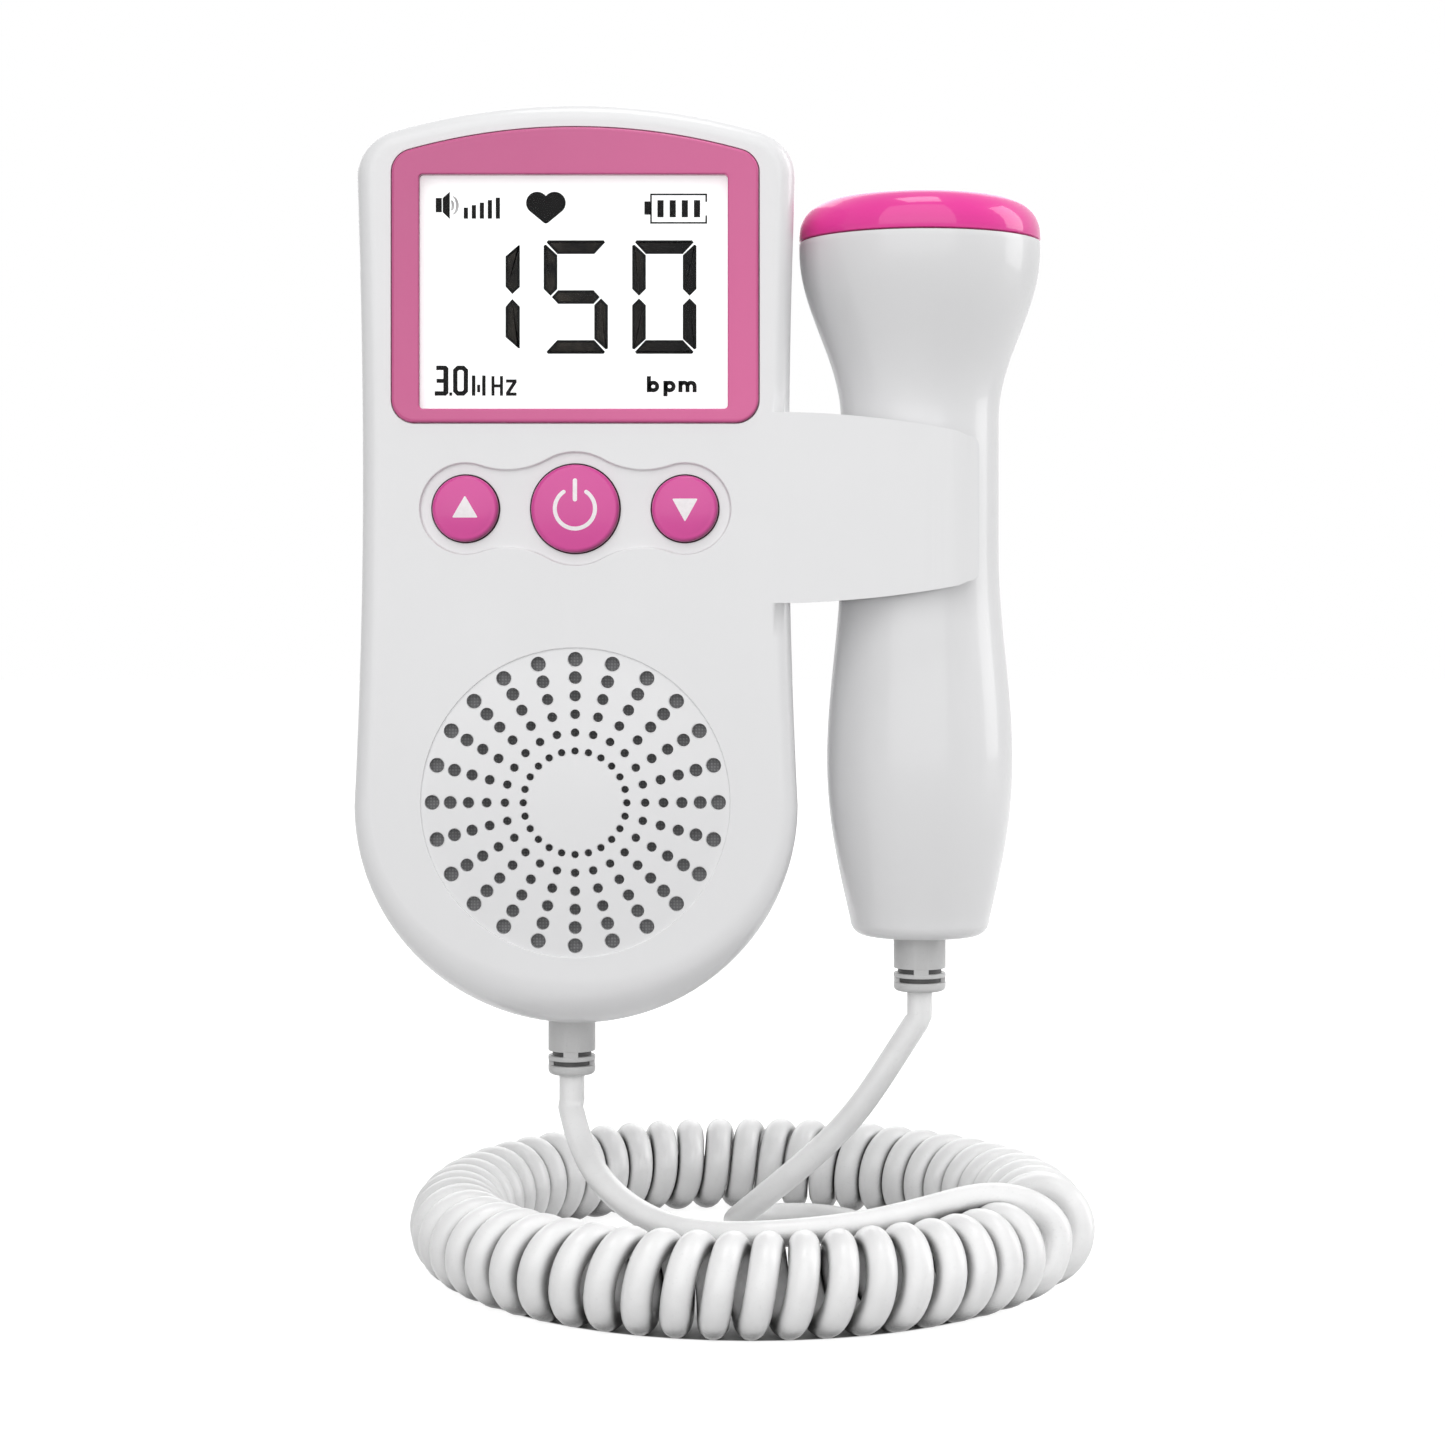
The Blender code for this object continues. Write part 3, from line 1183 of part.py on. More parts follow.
def main():
    clear_scene()
    white = material("white_plastic", (0.83, 0.83, 0.84), 0.32)
    pink = material("pink_plastic", (0.62, 0.15, 0.33), 0.38)
    hot_pink = material("bright_pink_plastic", (0.72, 0.08, 0.38), 0.3)
    clear = material("clear_lens", (0.95, 0.96, 0.97), 0.05, alpha=0.25)
    glass = material("display_glass", (0.8, 0.83, 0.84), 0.15)
    pale = material("pale_plastic", (0.85, 0.85, 0.8), 0.5)
    grey = material("grey_plastic", (0.3, 0.3, 0.32), 0.5)
    black = material("black_plastic", (0.03, 0.03, 0.03), 0.45)
    steel = material("steel", (0.6, 0.6, 0.62), 0.3, metallic=1.0)
    green = material("board_green", (0.03, 0.2, 0.08), 0.45)
    cloth = material("grey_cloth", (0.3, 0.3, 0.31), 0.9)
    paper = material("black_paper", (0.05, 0.05, 0.05), 0.85)
    label = material("battery_sleeve", (0.12, 0.2, 0.4), 0.35)
    ceramic = material("ceramic", (0.75, 0.7, 0.6), 0.5)
    backing = material("dark_backing", (0.1, 0.1, 0.1), 0.8)
    rubber = material("grey_rubber", (0.42, 0.42, 0.43), 0.55)
    cord = material("cord_sheath", (0.72, 0.72, 0.73), 0.45)
    make_front_cover(white)
    make_rear_cover(white)
    make_display(pink, clear, glass, pale, grey)
    make_buttons(hot_pink, black, steel)
    make_speaker(cloth, steel, paper, black)
    make_boards(green, black, pale)
    make_power(steel, label, white)
    make_screws(steel)
    make_probe(white, hot_pink, ceramic, backing, green, rubber)
    make_unit_boot(rubber)
    make_cord(cord)


main()
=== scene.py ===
"""Fetal doppler: the look of the hand unit, its probe in the clip and the curly cord.

Metres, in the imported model's frame: X right as seen from the front, Y to the back, Z up. Sizes
that the solids fix are repeated here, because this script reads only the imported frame.
"""

import math

import bmesh
import bpy
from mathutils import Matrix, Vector


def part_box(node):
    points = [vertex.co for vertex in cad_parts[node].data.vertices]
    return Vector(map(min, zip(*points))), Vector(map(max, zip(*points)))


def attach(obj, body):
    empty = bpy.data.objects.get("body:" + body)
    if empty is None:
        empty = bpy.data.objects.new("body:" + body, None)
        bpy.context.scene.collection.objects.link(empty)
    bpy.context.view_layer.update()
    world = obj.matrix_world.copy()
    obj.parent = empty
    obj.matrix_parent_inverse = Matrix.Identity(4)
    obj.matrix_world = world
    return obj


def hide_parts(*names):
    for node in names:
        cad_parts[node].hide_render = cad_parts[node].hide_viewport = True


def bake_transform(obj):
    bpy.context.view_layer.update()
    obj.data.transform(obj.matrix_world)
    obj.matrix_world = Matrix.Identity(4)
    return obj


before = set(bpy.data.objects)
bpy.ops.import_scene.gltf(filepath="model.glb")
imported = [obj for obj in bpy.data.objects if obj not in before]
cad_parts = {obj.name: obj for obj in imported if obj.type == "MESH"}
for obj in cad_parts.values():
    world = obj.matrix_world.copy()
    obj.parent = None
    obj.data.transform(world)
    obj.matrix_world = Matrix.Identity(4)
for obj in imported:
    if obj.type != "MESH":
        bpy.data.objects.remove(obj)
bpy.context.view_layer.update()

# Case, as in the solids
BODY_HEIGHT = 0.148
BODY_WIDTH = 0.0712
WAIST_WIDTH = 0.0684
SHOULDER_WIDTH = 0.0702
BODY_DEPTH = 0.034
WAIST_HEIGHT = 0.0878
SHOULDER_DROP = 0.0132
TOP_RADIUS = 0.106
CORNER_RADIUS = 0.0077
EDGE_RADIUS = 0.003
CHIN_EDGE_RADIUS = 0.008
WALL = 0.0022
GAP = 0.0003
OVERRUN = 0.004
FLOOR = -BODY_HEIGHT / 2
CROWN = BODY_HEIGHT / 2
CHIN_RADIUS = BODY_WIDTH / 2
CHIN_CENTRE = FLOOR + CHIN_RADIUS
WAIST = FLOOR + WAIST_HEIGHT
SHOULDER = CROWN - SHOULDER_DROP
FRONT = -BODY_DEPTH
PARTING = FRONT / 2
INNER_FRONT = FRONT + WALL

# Display
BEZEL_WIDTH = 0.0586
BEZEL_HEIGHT = 0.0472
BEZEL_TOP_RADIUS = 0.0985
BEZEL_CORNER = 0.0037
BEZEL_THICKNESS = 0.0016
BEZEL_PROUD = 0.0005
BEZEL_TOP = CROWN - 0.004
BEZEL_BOTTOM = BEZEL_TOP - BEZEL_HEIGHT
BEZEL_FRONT = FRONT - BEZEL_PROUD
BEZEL_BACK = BEZEL_FRONT + BEZEL_THICKNESS
POCKET_FLOOR = BEZEL_BACK + GAP
VIEW_WIDTH = 0.0492
VIEW_ASIDE = -0.00026
VIEW_BOTTOM = BEZEL_BOTTOM + 0.00225
VIEW_TOP = VIEW_BOTTOM + 0.03735
VIEW_CORNER = 0.0006
LENS_MARGIN = 0.0009
LENS_THICKNESS = 0.0008
PANEL_FRONT = INNER_FRONT + GAP

# Buttons
BUTTON_ROW = BEZEL_BOTTOM - 0.0137
BUTTON_SPACING = 0.01752
SIDE_BUTTON = 0.0053
POWER_BUTTON = 0.00705
SIDE_LOBE = 0.0073
POWER_LOBE = 0.00906
LOBE_FILLET = 0.0131
RECESS_DEPTH = 0.0008
BUTTON_PROUD = 0.0005
BUTTON_DOME = 0.0005
FLANGE_WIDTH = 0.001
FLANGE_THICKNESS = 0.0009
STEM_RADIUS = 0.0016

# Speaker grille
GRILLE_CENTRE = FLOOR + 0.0362
GRILLE_RAYS = 24
GRILLE_RINGS = 6
GRILLE_INNER = 0.00826
GRILLE_OUTER = 0.02288
SMALL_HOLE = 0.00058
LARGE_HOLE = 0.00118
DISH_RADIUS = 0.0247
DISH_DEPTH = 0.0004
GRILLE_DOME = 0.25
GRILLE_WALL = 0.0011

# Battery bay, door and screws
CELL_RADIUS = 0.00725
CELL_LENGTH = 0.0505
CELL_NUB_RADIUS = 0.00275
CELL_NUB_LENGTH = 0.001
CELL_SPACING = 0.0149
CONTACT_REACH = 0.0016
BAY_WALL = 0.001
DOOR_THICKNESS = 0.002
DOOR_CORNER = 0.004
DOOR_LEDGE = 0.0018
GRIP_GROOVES = 5
GRIP_LENGTH = 0.014
GRIP_WIDTH = 0.0009
GRIP_DEPTH = 0.0006
GRIP_PITCH = 0.0022
LATCH_WIDTH = 0.008
LATCH_DEPTH = 0.0014
LATCH_THICKNESS = 0.0012
BAY_CEILING = FLOOR + 0.0656
CELL_TOP = BAY_CEILING - 3 * GAP - CONTACT_REACH
CELL_BOTTOM = CELL_TOP - CELL_LENGTH
BAY_BOTTOM = CELL_BOTTOM - 3 * GAP - CONTACT_REACH
CELL_DEPTH = -DOOR_THICKNESS - 2 * GAP - CELL_RADIUS
BAY_HALF_WIDTH = CELL_SPACING / 2 + CELL_RADIUS + GAP
BAY_FRONT = CELL_DEPTH - CELL_RADIUS - GAP
DOOR_TOP = BAY_CEILING + DOOR_LEDGE
DOOR_BOTTOM = BAY_BOTTOM - DOOR_LEDGE
DOOR_HALF_WIDTH = BAY_HALF_WIDTH + DOOR_LEDGE
SCREW_SPREAD = 0.0298
SCREW_HEIGHTS = (0.0568, 0.1248)
SCREW_RADIUS = 0.0011
SCREW_HEAD_RADIUS = 0.0021
SCREW_HEAD_HEIGHT = 0.0016
SCREW_SINK = 0.008
SCREW_LENGTH = 0.015
SCREW_SLOT_WIDTH = 0.0005
SCREW_SLOT_DEPTH = 0.0007
SINK_WALL = 0.0008

# Probe and clip
PROBE_X = 0.0561
PROBE_LENGTH = 0.1215
PROBE_TOP = 0.0001 + PROBE_LENGTH / 2
PROBE_BOTTOM = 0.0001 - PROBE_LENGTH / 2
HEAD_RADIUS = 0.0199
NECK_RADIUS = 0.013
GRIP_RADIUS = 0.0153
TAIL_RADIUS = 0.0091
TAIL_SIDE_RADIUS = 0.0115
TAIL_SHARE = 0.0227
GRIP_SHARE = 0.247
NECK_LOW_SHARE = 0.553
NECK_HIGH_SHARE = 0.7426
HEAD_SHARE = 0.9883
CAP_EDGE = PROBE_TOP - 0.0071
SHELL_LENGTH = CAP_EDGE - PROBE_BOTTOM
CAP_ROUND = 0.0055
CAP_DOME = 0.0005
CAP_WALL = 0.0018
SHELL_WALL = 0.002
CLIP_RADIUS = NECK_RADIUS + 0.0009
CLIP_REACH = 0.0646
CLIP_BEND_START = 0.0563
CLIP_TIP_THICKNESS = 0.0013
CLIP_ROOT_TOP = 0.02455
CLIP_TIP_TOP = 0.02085
CLIP_ROOT_BOTTOM = -0.00595
CLIP_TIP_BOTTOM = -0.00245
CLIP_TIP_CORNER = 0.0018
CLIP_ROUND = 0.0011

# Cord, as in the solids
BOOT_X = -0.0014
BOOT_RADIUS = 0.0039
BOOT_LENGTH = 0.0094
PROBE_BOOT_RADIUS = 0.0043
PROBE_BOOT_LENGTH = 0.009
BOOT_NECK_RADIUS = 0.0028
CORD_RADIUS = 0.0021
SURFACE = -0.1158
RING_X = 0.028
RING_Y = -0.016
RING_RADIUS = 0.048
CURL_CORD_RADIUS = 0.00238
CURL_RADIUS = 0.00565
CURL_SWELL = 0.0026
CURL_START = math.radians(-20)
CURL_STRETCH = math.radians(8)
CURL_EASE = 1.9
CURL_BULGE = math.radians(5.5)
END_SWELL = 0.0009
BULGE_BACK = math.radians(60)
BULGE_WIDTH = math.radians(60)
CURLS_PER_CIRCLE = 55
CURL_TURNS = math.tau * 52 + math.pi / 2 + math.radians(75)
UNIT_LEAD_ROUTE = (
    (-0.0018, -0.0180, -0.0918), (0.0002, -0.0215, -0.0958), (0.0038, -0.0290, -0.0998),
    (0.0104, -0.0400, -0.1028), (0.0180, -0.0495, -0.1033), (0.0262, -0.0546, -0.1028),
    (0.0354, -0.0546, -0.1019), (0.0430, -0.0518, -0.1018), (0.0500, -0.0475, -0.1015),
    (0.0558, -0.0420, -0.1008), (0.0618, -0.0391, -0.0999),
)
PROBE_LEAD_ROUTE = (
    (0.0523, -0.0160, -0.0799), (0.0498, -0.0151, -0.0851), (0.0465, -0.0139, -0.0904),
    (0.0430, -0.0125, -0.0946), (0.0388, -0.0109, -0.0986), (0.0338, -0.0087, -0.1030),
    (0.0287, -0.0058, -0.1078), (0.0250, -0.0015, -0.1120), (0.0240, 0.0060, -0.1136),
    (0.0280, 0.0138, -0.1137), (0.0360, 0.0170, -0.1137), (0.0440, 0.0138, -0.1137),
    (0.0490, 0.0060, -0.1137), (0.0508, -0.0040, -0.1137), (0.0520, -0.0140, -0.1137),
    (0.0545, -0.0240, -0.1137), (0.0592, -0.0310, -0.1137),
)

# Fineness
SHARP = math.radians(32)
CHIN_STEPS = 72
SIDE_STEPS = 14
EDGE_STEPS = 8
ARC_STEPS = 14
ROUND_STEPS = 96
HOLE_STEPS = 20
POINTS_PER_CURL = 40
CORD_SIDES = 18


# Materials

def linear(red, green, blue):
    """A colour given as 0 to 255 on screen, as scene values."""
    shares = (red / 255, green / 255, blue / 255)
    return tuple(share / 12.92 if share <= 0.04045 else ((share + 0.055) / 1.055) ** 2.4 for share in shares)


def shifted(colour, amount):
    """The colour, lighter or darker by a share."""
    return tuple(min(1.0, max(0.0, value * (1 + amount))) for value in colour)


class Nodes:
    """Makes and links the nodes of a material or of the world."""

    def __init__(self, owner):
        """Opens the owner's nodes, or those of a new material of that name."""
        self.owner = bpy.data.materials.new(owner) if isinstance(owner, str) else owner
        self.owner.use_nodes = True
        self.tree = self.owner.node_tree
        self.places = self.node("ShaderNodeTexCoord")
        self.place = self.places["Object"]

    def node(self, kind, inputs=None, **settings):
        """The outputs of a new node, whose inputs are values or sockets by name or number."""
        made = self.tree.nodes.new(kind)
        for key, value in settings.items():
            setattr(made, key, value)
        self.feed(made, inputs or {})
        return made.outputs

    def feed(self, node, inputs):
        """Sets or links the node's inputs."""
        for key, value in inputs.items():
            if isinstance(value, bpy.types.NodeSocket):
                self.tree.links.new(value, node.inputs[key])
            else:
                node.inputs[key].default_value = value

    def stretched(self, scale):
        """The place, scaled apart along X, Y and Z."""
        return self.node("ShaderNodeMapping", {"Vector": self.place, "Scale": scale})["Vector"]

    def noise(self, scale, detail, roughness=0.5, place=None):
        return self.node("ShaderNodeTexNoise", {
            "Vector": place or self.place, "Scale": scale, "Detail": detail, "Roughness": roughness,
        })["Fac"]

    def waves(self, direction, scale, distortion=0.0):
        inputs = {"Vector": self.place, "Scale": scale, "Distortion": distortion}
        return self.node("ShaderNodeTexWave", inputs, bands_direction=direction)["Fac"]

    def ranged(self, source, first, last, low=0.0, high=1.0):
        """Low where the source is at first, high where it is at last."""
        return self.node("ShaderNodeMapRange", {
            "Value": source, "From Min": first, "From Max": last, "To Min": low, "To Max": high,
        })["Result"]

    def cloud(self, span, *noise):
        """Noise whose first two values in the span become the other two, or 0 and 1."""
        return self.ranged(self.noise(*noise), *span)

    def mixed(self, share, first, last):
        """A colour between two, each a colour or a socket; 6, 7 and 2 are the node's colour sockets."""
        first, last = ((*ink[:3], 1.0) if isinstance(ink, tuple) else ink for ink in (first, last))
        return self.node("ShaderNodeMix", {0: share, 6: first, 7: last}, data_type="RGBA")[2]

    def maths(self, operation, first, last):
        return self.node("ShaderNodeMath", {0: first, 1: last}, operation=operation)["Value"]

    def bump(self, height, distance, strength=1.0, **normal):
        return self.node("ShaderNodeBump", {
            "Height": height, "Distance": distance, "Strength": strength, **normal,
        })["Normal"]

    def shown_factor(self):
        """1 for a ray from the camera, in a reflection or through glass, else 0."""
        path = self.node("ShaderNodeLightPath")
        found = self.maths("MAXIMUM", path["Is Camera Ray"], path["Is Glossy Ray"])
        return self.maths("MAXIMUM", found, path["Is Transmission Ray"])

    def tinted(self, share, colour):
        """Mixes a colour over what the shader's base colour has so far."""
        shader = self.tree.nodes["Principled BSDF"]
        base = shader.inputs["Base Color"].links[0].from_socket
        self.feed(shader, {"Base Color": self.mixed(share, base, colour)})

    def dressed(self, base, **inputs):
        """The material with its shader's inputs: coat_weight=0.2 feeds Coat Weight."""
        shader = self.tree.nodes["Principled BSDF"]
        names = {socket.name.lower().replace(" ", "_"): socket.name for socket in shader.inputs}
        inputs["base_color"] = base
        self.feed(shader, {names[key]: value for key, value in inputs.items()})
        return self.owner


def plastic(name, colour, roughness, grain, grain_depth, wear=0.1, variation=0.025, **inputs):
    """Moulded plastic: flow marks in its colour, fingered gloss, a fine grain and worn edges."""
    made = Nodes(name)
    flow = made.cloud((0.35, 0.65), 38, 4, 0.6, made.stretched((1.0, 1.0, 0.45)))
    base = made.mixed(flow, shifted(colour, -variation), shifted(colour, variation))
    worn = made.ranged(made.node("ShaderNodeNewGeometry")["Pointiness"], 0.52, 0.6, 0.0, wear)
    gloss = made.cloud((0.3, 0.7, roughness * 0.93, roughness * 1.1), 160, 5, 0.65)
    coarse = made.bump(made.noise(grain / 12, 2), grain_depth * 2, 0.4)
    return made.dressed(
        made.mixed(worn, base, shifted(colour, 0.25)), roughness=made.maths("ADD", gloss, worn),
        normal=made.bump(made.noise(grain, 2), grain_depth, Normal=coarse), **inputs,
    )


def painted_shade_by_slope(material, kind, first, last, low, high):
    """Paints shade into a finish by its place, or by its surface's direction, from the upper left to the
    lower right.
    """
    made = Nodes(material)
    parts = made.node("ShaderNodeSeparateXYZ", {"Vector": made.places[kind]})
    slope = made.maths("SUBTRACT", parts["X"], parts["Z"])
    # The dark magenta mixed in here is the painted shade.
    made.tinted(made.ranged(slope, first, last, low, high), (0.03, 0.0, 0.015))


def rubber(name, colour, roughness, grain_depth, **inputs):
    """Soft sheath or boot: cloudy colour, fine pores and lengthwise drag marks."""
    made = Nodes(name)
    cloud = made.cloud((0.35, 0.65), 120, 4, 0.6)
    base = made.mixed(cloud, shifted(colour, -0.035), shifted(colour, 0.03))
    pores = made.bump(made.noise(3200, 3), grain_depth)
    return made.dressed(
        made.mixed(made.cloud((0.62, 0.72), 2600, 2), base, shifted(colour, -0.05)),
        roughness=made.cloud((0.3, 0.7, roughness * 0.85, roughness * 1.15), 420, 4),
        normal=made.bump(made.noise(300, 2), grain_depth * 3, 0.5, Normal=pores), **inputs,
    )


def painted_gap_shade(material, reach, dark):
    """Paints shade into a finish in its tight gaps, such as those between the cord's curls."""
    made = Nodes(material)
    openness = made.node("ShaderNodeAmbientOcclusion", {"Distance": reach}, samples=6)["AO"]
    made.tinted(made.ranged(openness, 0.22, 0.56, 1.0, 0.0), dark)


def metal(name, colour, roughness, brushed):
    """Plated sheet or turned metal, brushed along one direction."""
    made = Nodes(name)
    lines = made.noise(900, 3, 0.6, made.stretched(brushed))
    return made.dressed(
        made.mixed(made.cloud((0.3, 0.7), 210, 4), shifted(colour, -0.12), shifted(colour, 0.05)),
        roughness=made.ranged(lines, 0.3, 0.7, roughness * 0.7, roughness * 1.4),
        normal=made.bump(lines, 0.000004), metallic=1.0,
    )


def display_face():
    """The display's pale ground: a slight cloud, the fine raster and a clean glow, painted light that keeps
    it white into the shade of the window's recess.
    """
    made = Nodes("display_face")
    pale = linear(247, 249, 248)
    base = made.mixed(made.cloud((0.3, 0.7), 45, 3), shifted(pale, -0.02), pale)
    raster = made.ranged(made.waves("Z", 800), 0.8, 1.0, 0.0, 0.02)
    return made.dressed(
        made.mixed(raster, base, (0.5, 0.55, 0.5)), roughness=made.cloud((0.3, 0.7, 0.22, 0.3), 500, 2),
        normal=made.bump(made.noise(2500, 1), 0.000003),
        # Painted light: a glow that lifts the face to white.
        emission_color=(0.97, 1.0, 0.99, 1.0), emission_strength=0.4,
    )


def display_ink(name, colour, sheen):
    """Liquid crystal segments: dark, slightly mottled, with a painted warm sheen, a painted reflection that
    fades to the right.
    """
    made = Nodes(name)
    parts = made.node("ShaderNodeSeparateXYZ", {"Vector": made.place})
    # Painted reflection: the sheen colour on the left, fading to the ink's own colour on the right.
    base = made.mixed(made.ranged(parts["X"], 0.004, 0.017, 1.0, 0.0), colour, sheen)
    return made.dressed(
        made.mixed(made.cloud((0.35, 0.7), 260, 4, 0.65), base, shifted(colour, 0.6)),
        roughness=made.cloud((0.3, 0.7, 0.3, 0.42), 900, 2),
        normal=made.bump(made.noise(1800, 2), 0.000004), specular_ior_level=0.08,
    )


def clear_lens():
    """The window: clear, glossy, with faint dust and wiping marks."""
    made = Nodes("clear_lens")
    dust = made.cloud((0.66, 0.74), 1500, 2)
    return made.dressed(
        made.mixed(dust, (0.82, 0.84, 0.85), (0.6, 0.6, 0.6)),
        roughness=made.cloud((0.3, 0.7, 0.03, 0.08), 120, 4, 0.6, made.stretched((0.25, 1.0, 1.6))),
        alpha=made.ranged(dust, 0.0, 1.0, 0.003, 0.014), coat_weight=0.0, specular_ior_level=0.08,
    )


def cloth(name, colour, pitch):
    """Woven acoustic cloth: two sets of threads, over and under."""
    made = Nodes(name)
    weave = made.maths("MULTIPLY", *[made.waves(along, math.tau / pitch / 20, 0.6) for along in "XZ"])
    return made.dressed(
        made.mixed(weave, shifted(colour, -0.3), shifted(colour, 0.2)),
        roughness=made.ranged(weave, 0.0, 1.0, 0.95, 0.75), normal=made.bump(weave, 0.00003),
    )


def board(name):
    """A green board: tracks under the mask, pads and a faint laminate weave."""
    made = Nodes(name)
    facing = made.node("ShaderNodeMapping", {"Vector": made.place, "Rotation": (math.pi / 2, 0.0, 0.0)})
    tracks = made.node(
        "ShaderNodeTexBrick", {"Vector": facing["Vector"], "Scale": 160, "Mortar Size": 0.03},
        offset=0.37, squash=0.6, squash_frequency=3,
    )["Fac"]
    base = made.mixed(tracks, (0.015, 0.13, 0.045), (0.05, 0.26, 0.09))
    spots = made.node("ShaderNodeTexVoronoi", {"Vector": made.place, "Scale": 190})["Distance"]
    pad = made.ranged(spots, 0.2, 0.16)
    return made.dressed(
        made.mixed(pad, base, (0.62, 0.6, 0.52)), roughness=made.cloud((0.3, 0.7, 0.3, 0.45), 700, 3),
        normal=made.bump(made.maths("ADD", tracks, pad), 0.00003),
    )


def battery_sleeve():
    """A cell's sleeve: a copper band at its head over a dark body, with no marks on it."""
    made = Nodes("battery_sleeve")
    parts = made.node("ShaderNodeSeparateXYZ", {"Vector": made.place})
    left = made.ranged(parts["X"], -0.0002, 0.0002, 1.0, 0.0)
    right = made.maths("SUBTRACT", 1.0, left)
    low_band, high_band, low_tip, high_tip = (
        made.ranged(parts["Z"], level - 0.0001, level + 0.0001, *ends)
        for level, *ends in ((-0.0472, 1.0, 0.0), (-0.0278,), (-0.0617, 1.0, 0.0), (-0.0108,))
    )
    bands = [made.maths("MULTIPLY", *pair) for pair in ((high_band, left), (low_band, right))]
    base = made.mixed(made.maths("ADD", *bands), (0.02, 0.022, 0.028), (0.42, 0.17, 0.05))
    tips = made.maths("ADD", high_tip, low_tip)
    return made.dressed(
        made.mixed(tips, base, (0.62, 0.62, 0.63)), metallic=tips,
        roughness=made.cloud((0.3, 0.7, 0.2, 0.32), 300, 3),
        normal=made.bump(made.noise(900, 3), 0.000012),
    )


def inlay(name, colour):
    """Printed symbols on the keys."""
    made = Nodes(name)
    return made.dressed(
        made.mixed(made.cloud((0.4, 0.6), 1400, 3), shifted(colour, -0.05), colour),
        roughness=made.cloud((0.3, 0.7, 0.35, 0.5), 800, 2),
        normal=made.bump(made.noise(2600, 2), 0.000006),
    )


WHITE = plastic("white_shell", linear(234, 234, 235), 0.33, 5200, 0.0000012, 0.05, 0.008,
                coat_weight=0.3, coat_roughness=0.12)
PROBE_WHITE = plastic("probe_shell", linear(230, 230, 231), 0.33, 5200, 0.000001, 0.05, 0.008,
                      coat_weight=0.3, coat_roughness=0.06, specular_ior_level=0.35)
BEZEL_PINK = plastic("bezel_pink", linear(218, 95, 153), 0.32, 4200, 0.000003, 0.08, 0.01)
# Painted shade on the bezel: darker towards its upper left, and darker on its edges that face down and to the
# right.
painted_shade_by_slope(BEZEL_PINK, "Object", -0.085, 0.0, 0.2, 0.0)
painted_shade_by_slope(BEZEL_PINK, "Normal", 0.45, 1.1, 0.0, 0.6)
BUTTON_PINK = plastic("button_pink", linear(214, 62, 152), 0.34, 4800, 0.000003, 0.08, 0.01,
                      coat_weight=0.2, coat_roughness=0.1)
# Painted shade on the keys: darker on their rims that face down and to the right.
painted_shade_by_slope(BUTTON_PINK, "Normal", 0.2, 1.1, 0.0, 0.62)
# Painted shade: a dark magenta for the keys' side walls, standing for the shadow in the gap round each key.
KEY_WALL_SHADE = plastic("key_side", linear(84, 22, 56), 0.45, 4800, 0.000004, 0.0, 0.012)
PRINT = inlay("key_print", linear(250, 244, 247))
CAP_PINK = plastic("cap_pink", linear(238, 50, 158), 0.34, 5200, 0.000001, 0.06, 0.012,
                   coat_weight=0.7, coat_roughness=0.02, specular_ior_level=0.15)
DARK = plastic("black_plastic", (0.02, 0.02, 0.021), 0.4, 3000, 0.00001)
PALE = plastic("pale_plastic", (0.78, 0.78, 0.72), 0.42, 3000, 0.00001)
GREY = plastic("grey_plastic", (0.3, 0.3, 0.32), 0.42, 3000, 0.00001)
CERAMIC = plastic("ceramic", (0.74, 0.68, 0.56), 0.38, 2200, 0.00001)
BACKING = rubber("dark_backing", (0.06, 0.06, 0.062), 0.7, 0.00002)
BOOT_GREY = rubber("boot_rubber", linear(203, 203, 203), 0.38, 0.000008)
# Painted shade: a dark grey for the faces deep in the boots' slots.
BOOT_SLOT_SHADE = rubber("boot_inside", linear(70, 70, 70), 0.5, 0.000008)
SHEATH = rubber("cord_sheath", linear(244, 244, 244), 0.38, 0.000003, coat_weight=0.3, coat_roughness=0.15)
# Painted shade between the cord's curls.
painted_gap_shade(SHEATH, 0.0045, (0.008, 0.008, 0.008))
STEEL = metal("steel", (0.62, 0.62, 0.64), 0.28, (1.0, 1.0, 14.0))
SCREW_STEEL = metal("screw_steel", (0.5, 0.5, 0.52), 0.3, (9.0, 1.0, 1.0))
PAPER = cloth("cone_paper", (0.05, 0.05, 0.052), 0.0011)
GRILLE_CLOTH = cloth("grille_cloth", linear(168, 168, 170), 0.0005)
BOARD = board("board_green")
SLEEVE = battery_sleeve()
FACE = display_face()
INK = display_ink("display_ink", (0.001, 0.001, 0.0012), (0.0015, 0.0015, 0.0015))
# The segments' painted sheen: a lighter, warm reflection painted into their middles.
PAINTED_SHEEN_INK = display_ink("display_sheen", (0.0015, 0.0015, 0.0018), (0.03, 0.026, 0.021))
INK_FAINT = display_ink("display_faint", (0.45, 0.45, 0.45), (0.45, 0.45, 0.45))
LENS = clear_lens()


# Shapes, in the white shell's finish unless told; a cutter's own finish is lost in the cut

def finish_mesh(name, build, finish=WHITE, sharp=SHARP):
    """Turns a bmesh into an object: faces outward, round parts smooth, edges past the angle sharp."""
    bmesh.ops.recalc_face_normals(build, faces=build.faces[:])
    mesh = bpy.data.meshes.new(name)
    build.to_mesh(mesh)
    build.free()
    mesh.shade_smooth()
    mesh.set_sharp_from_angle(angle=sharp)
    mesh.materials.append(finish)
    made = bpy.data.objects.new(name, mesh)
    bpy.context.scene.collection.objects.link(made)
    return made


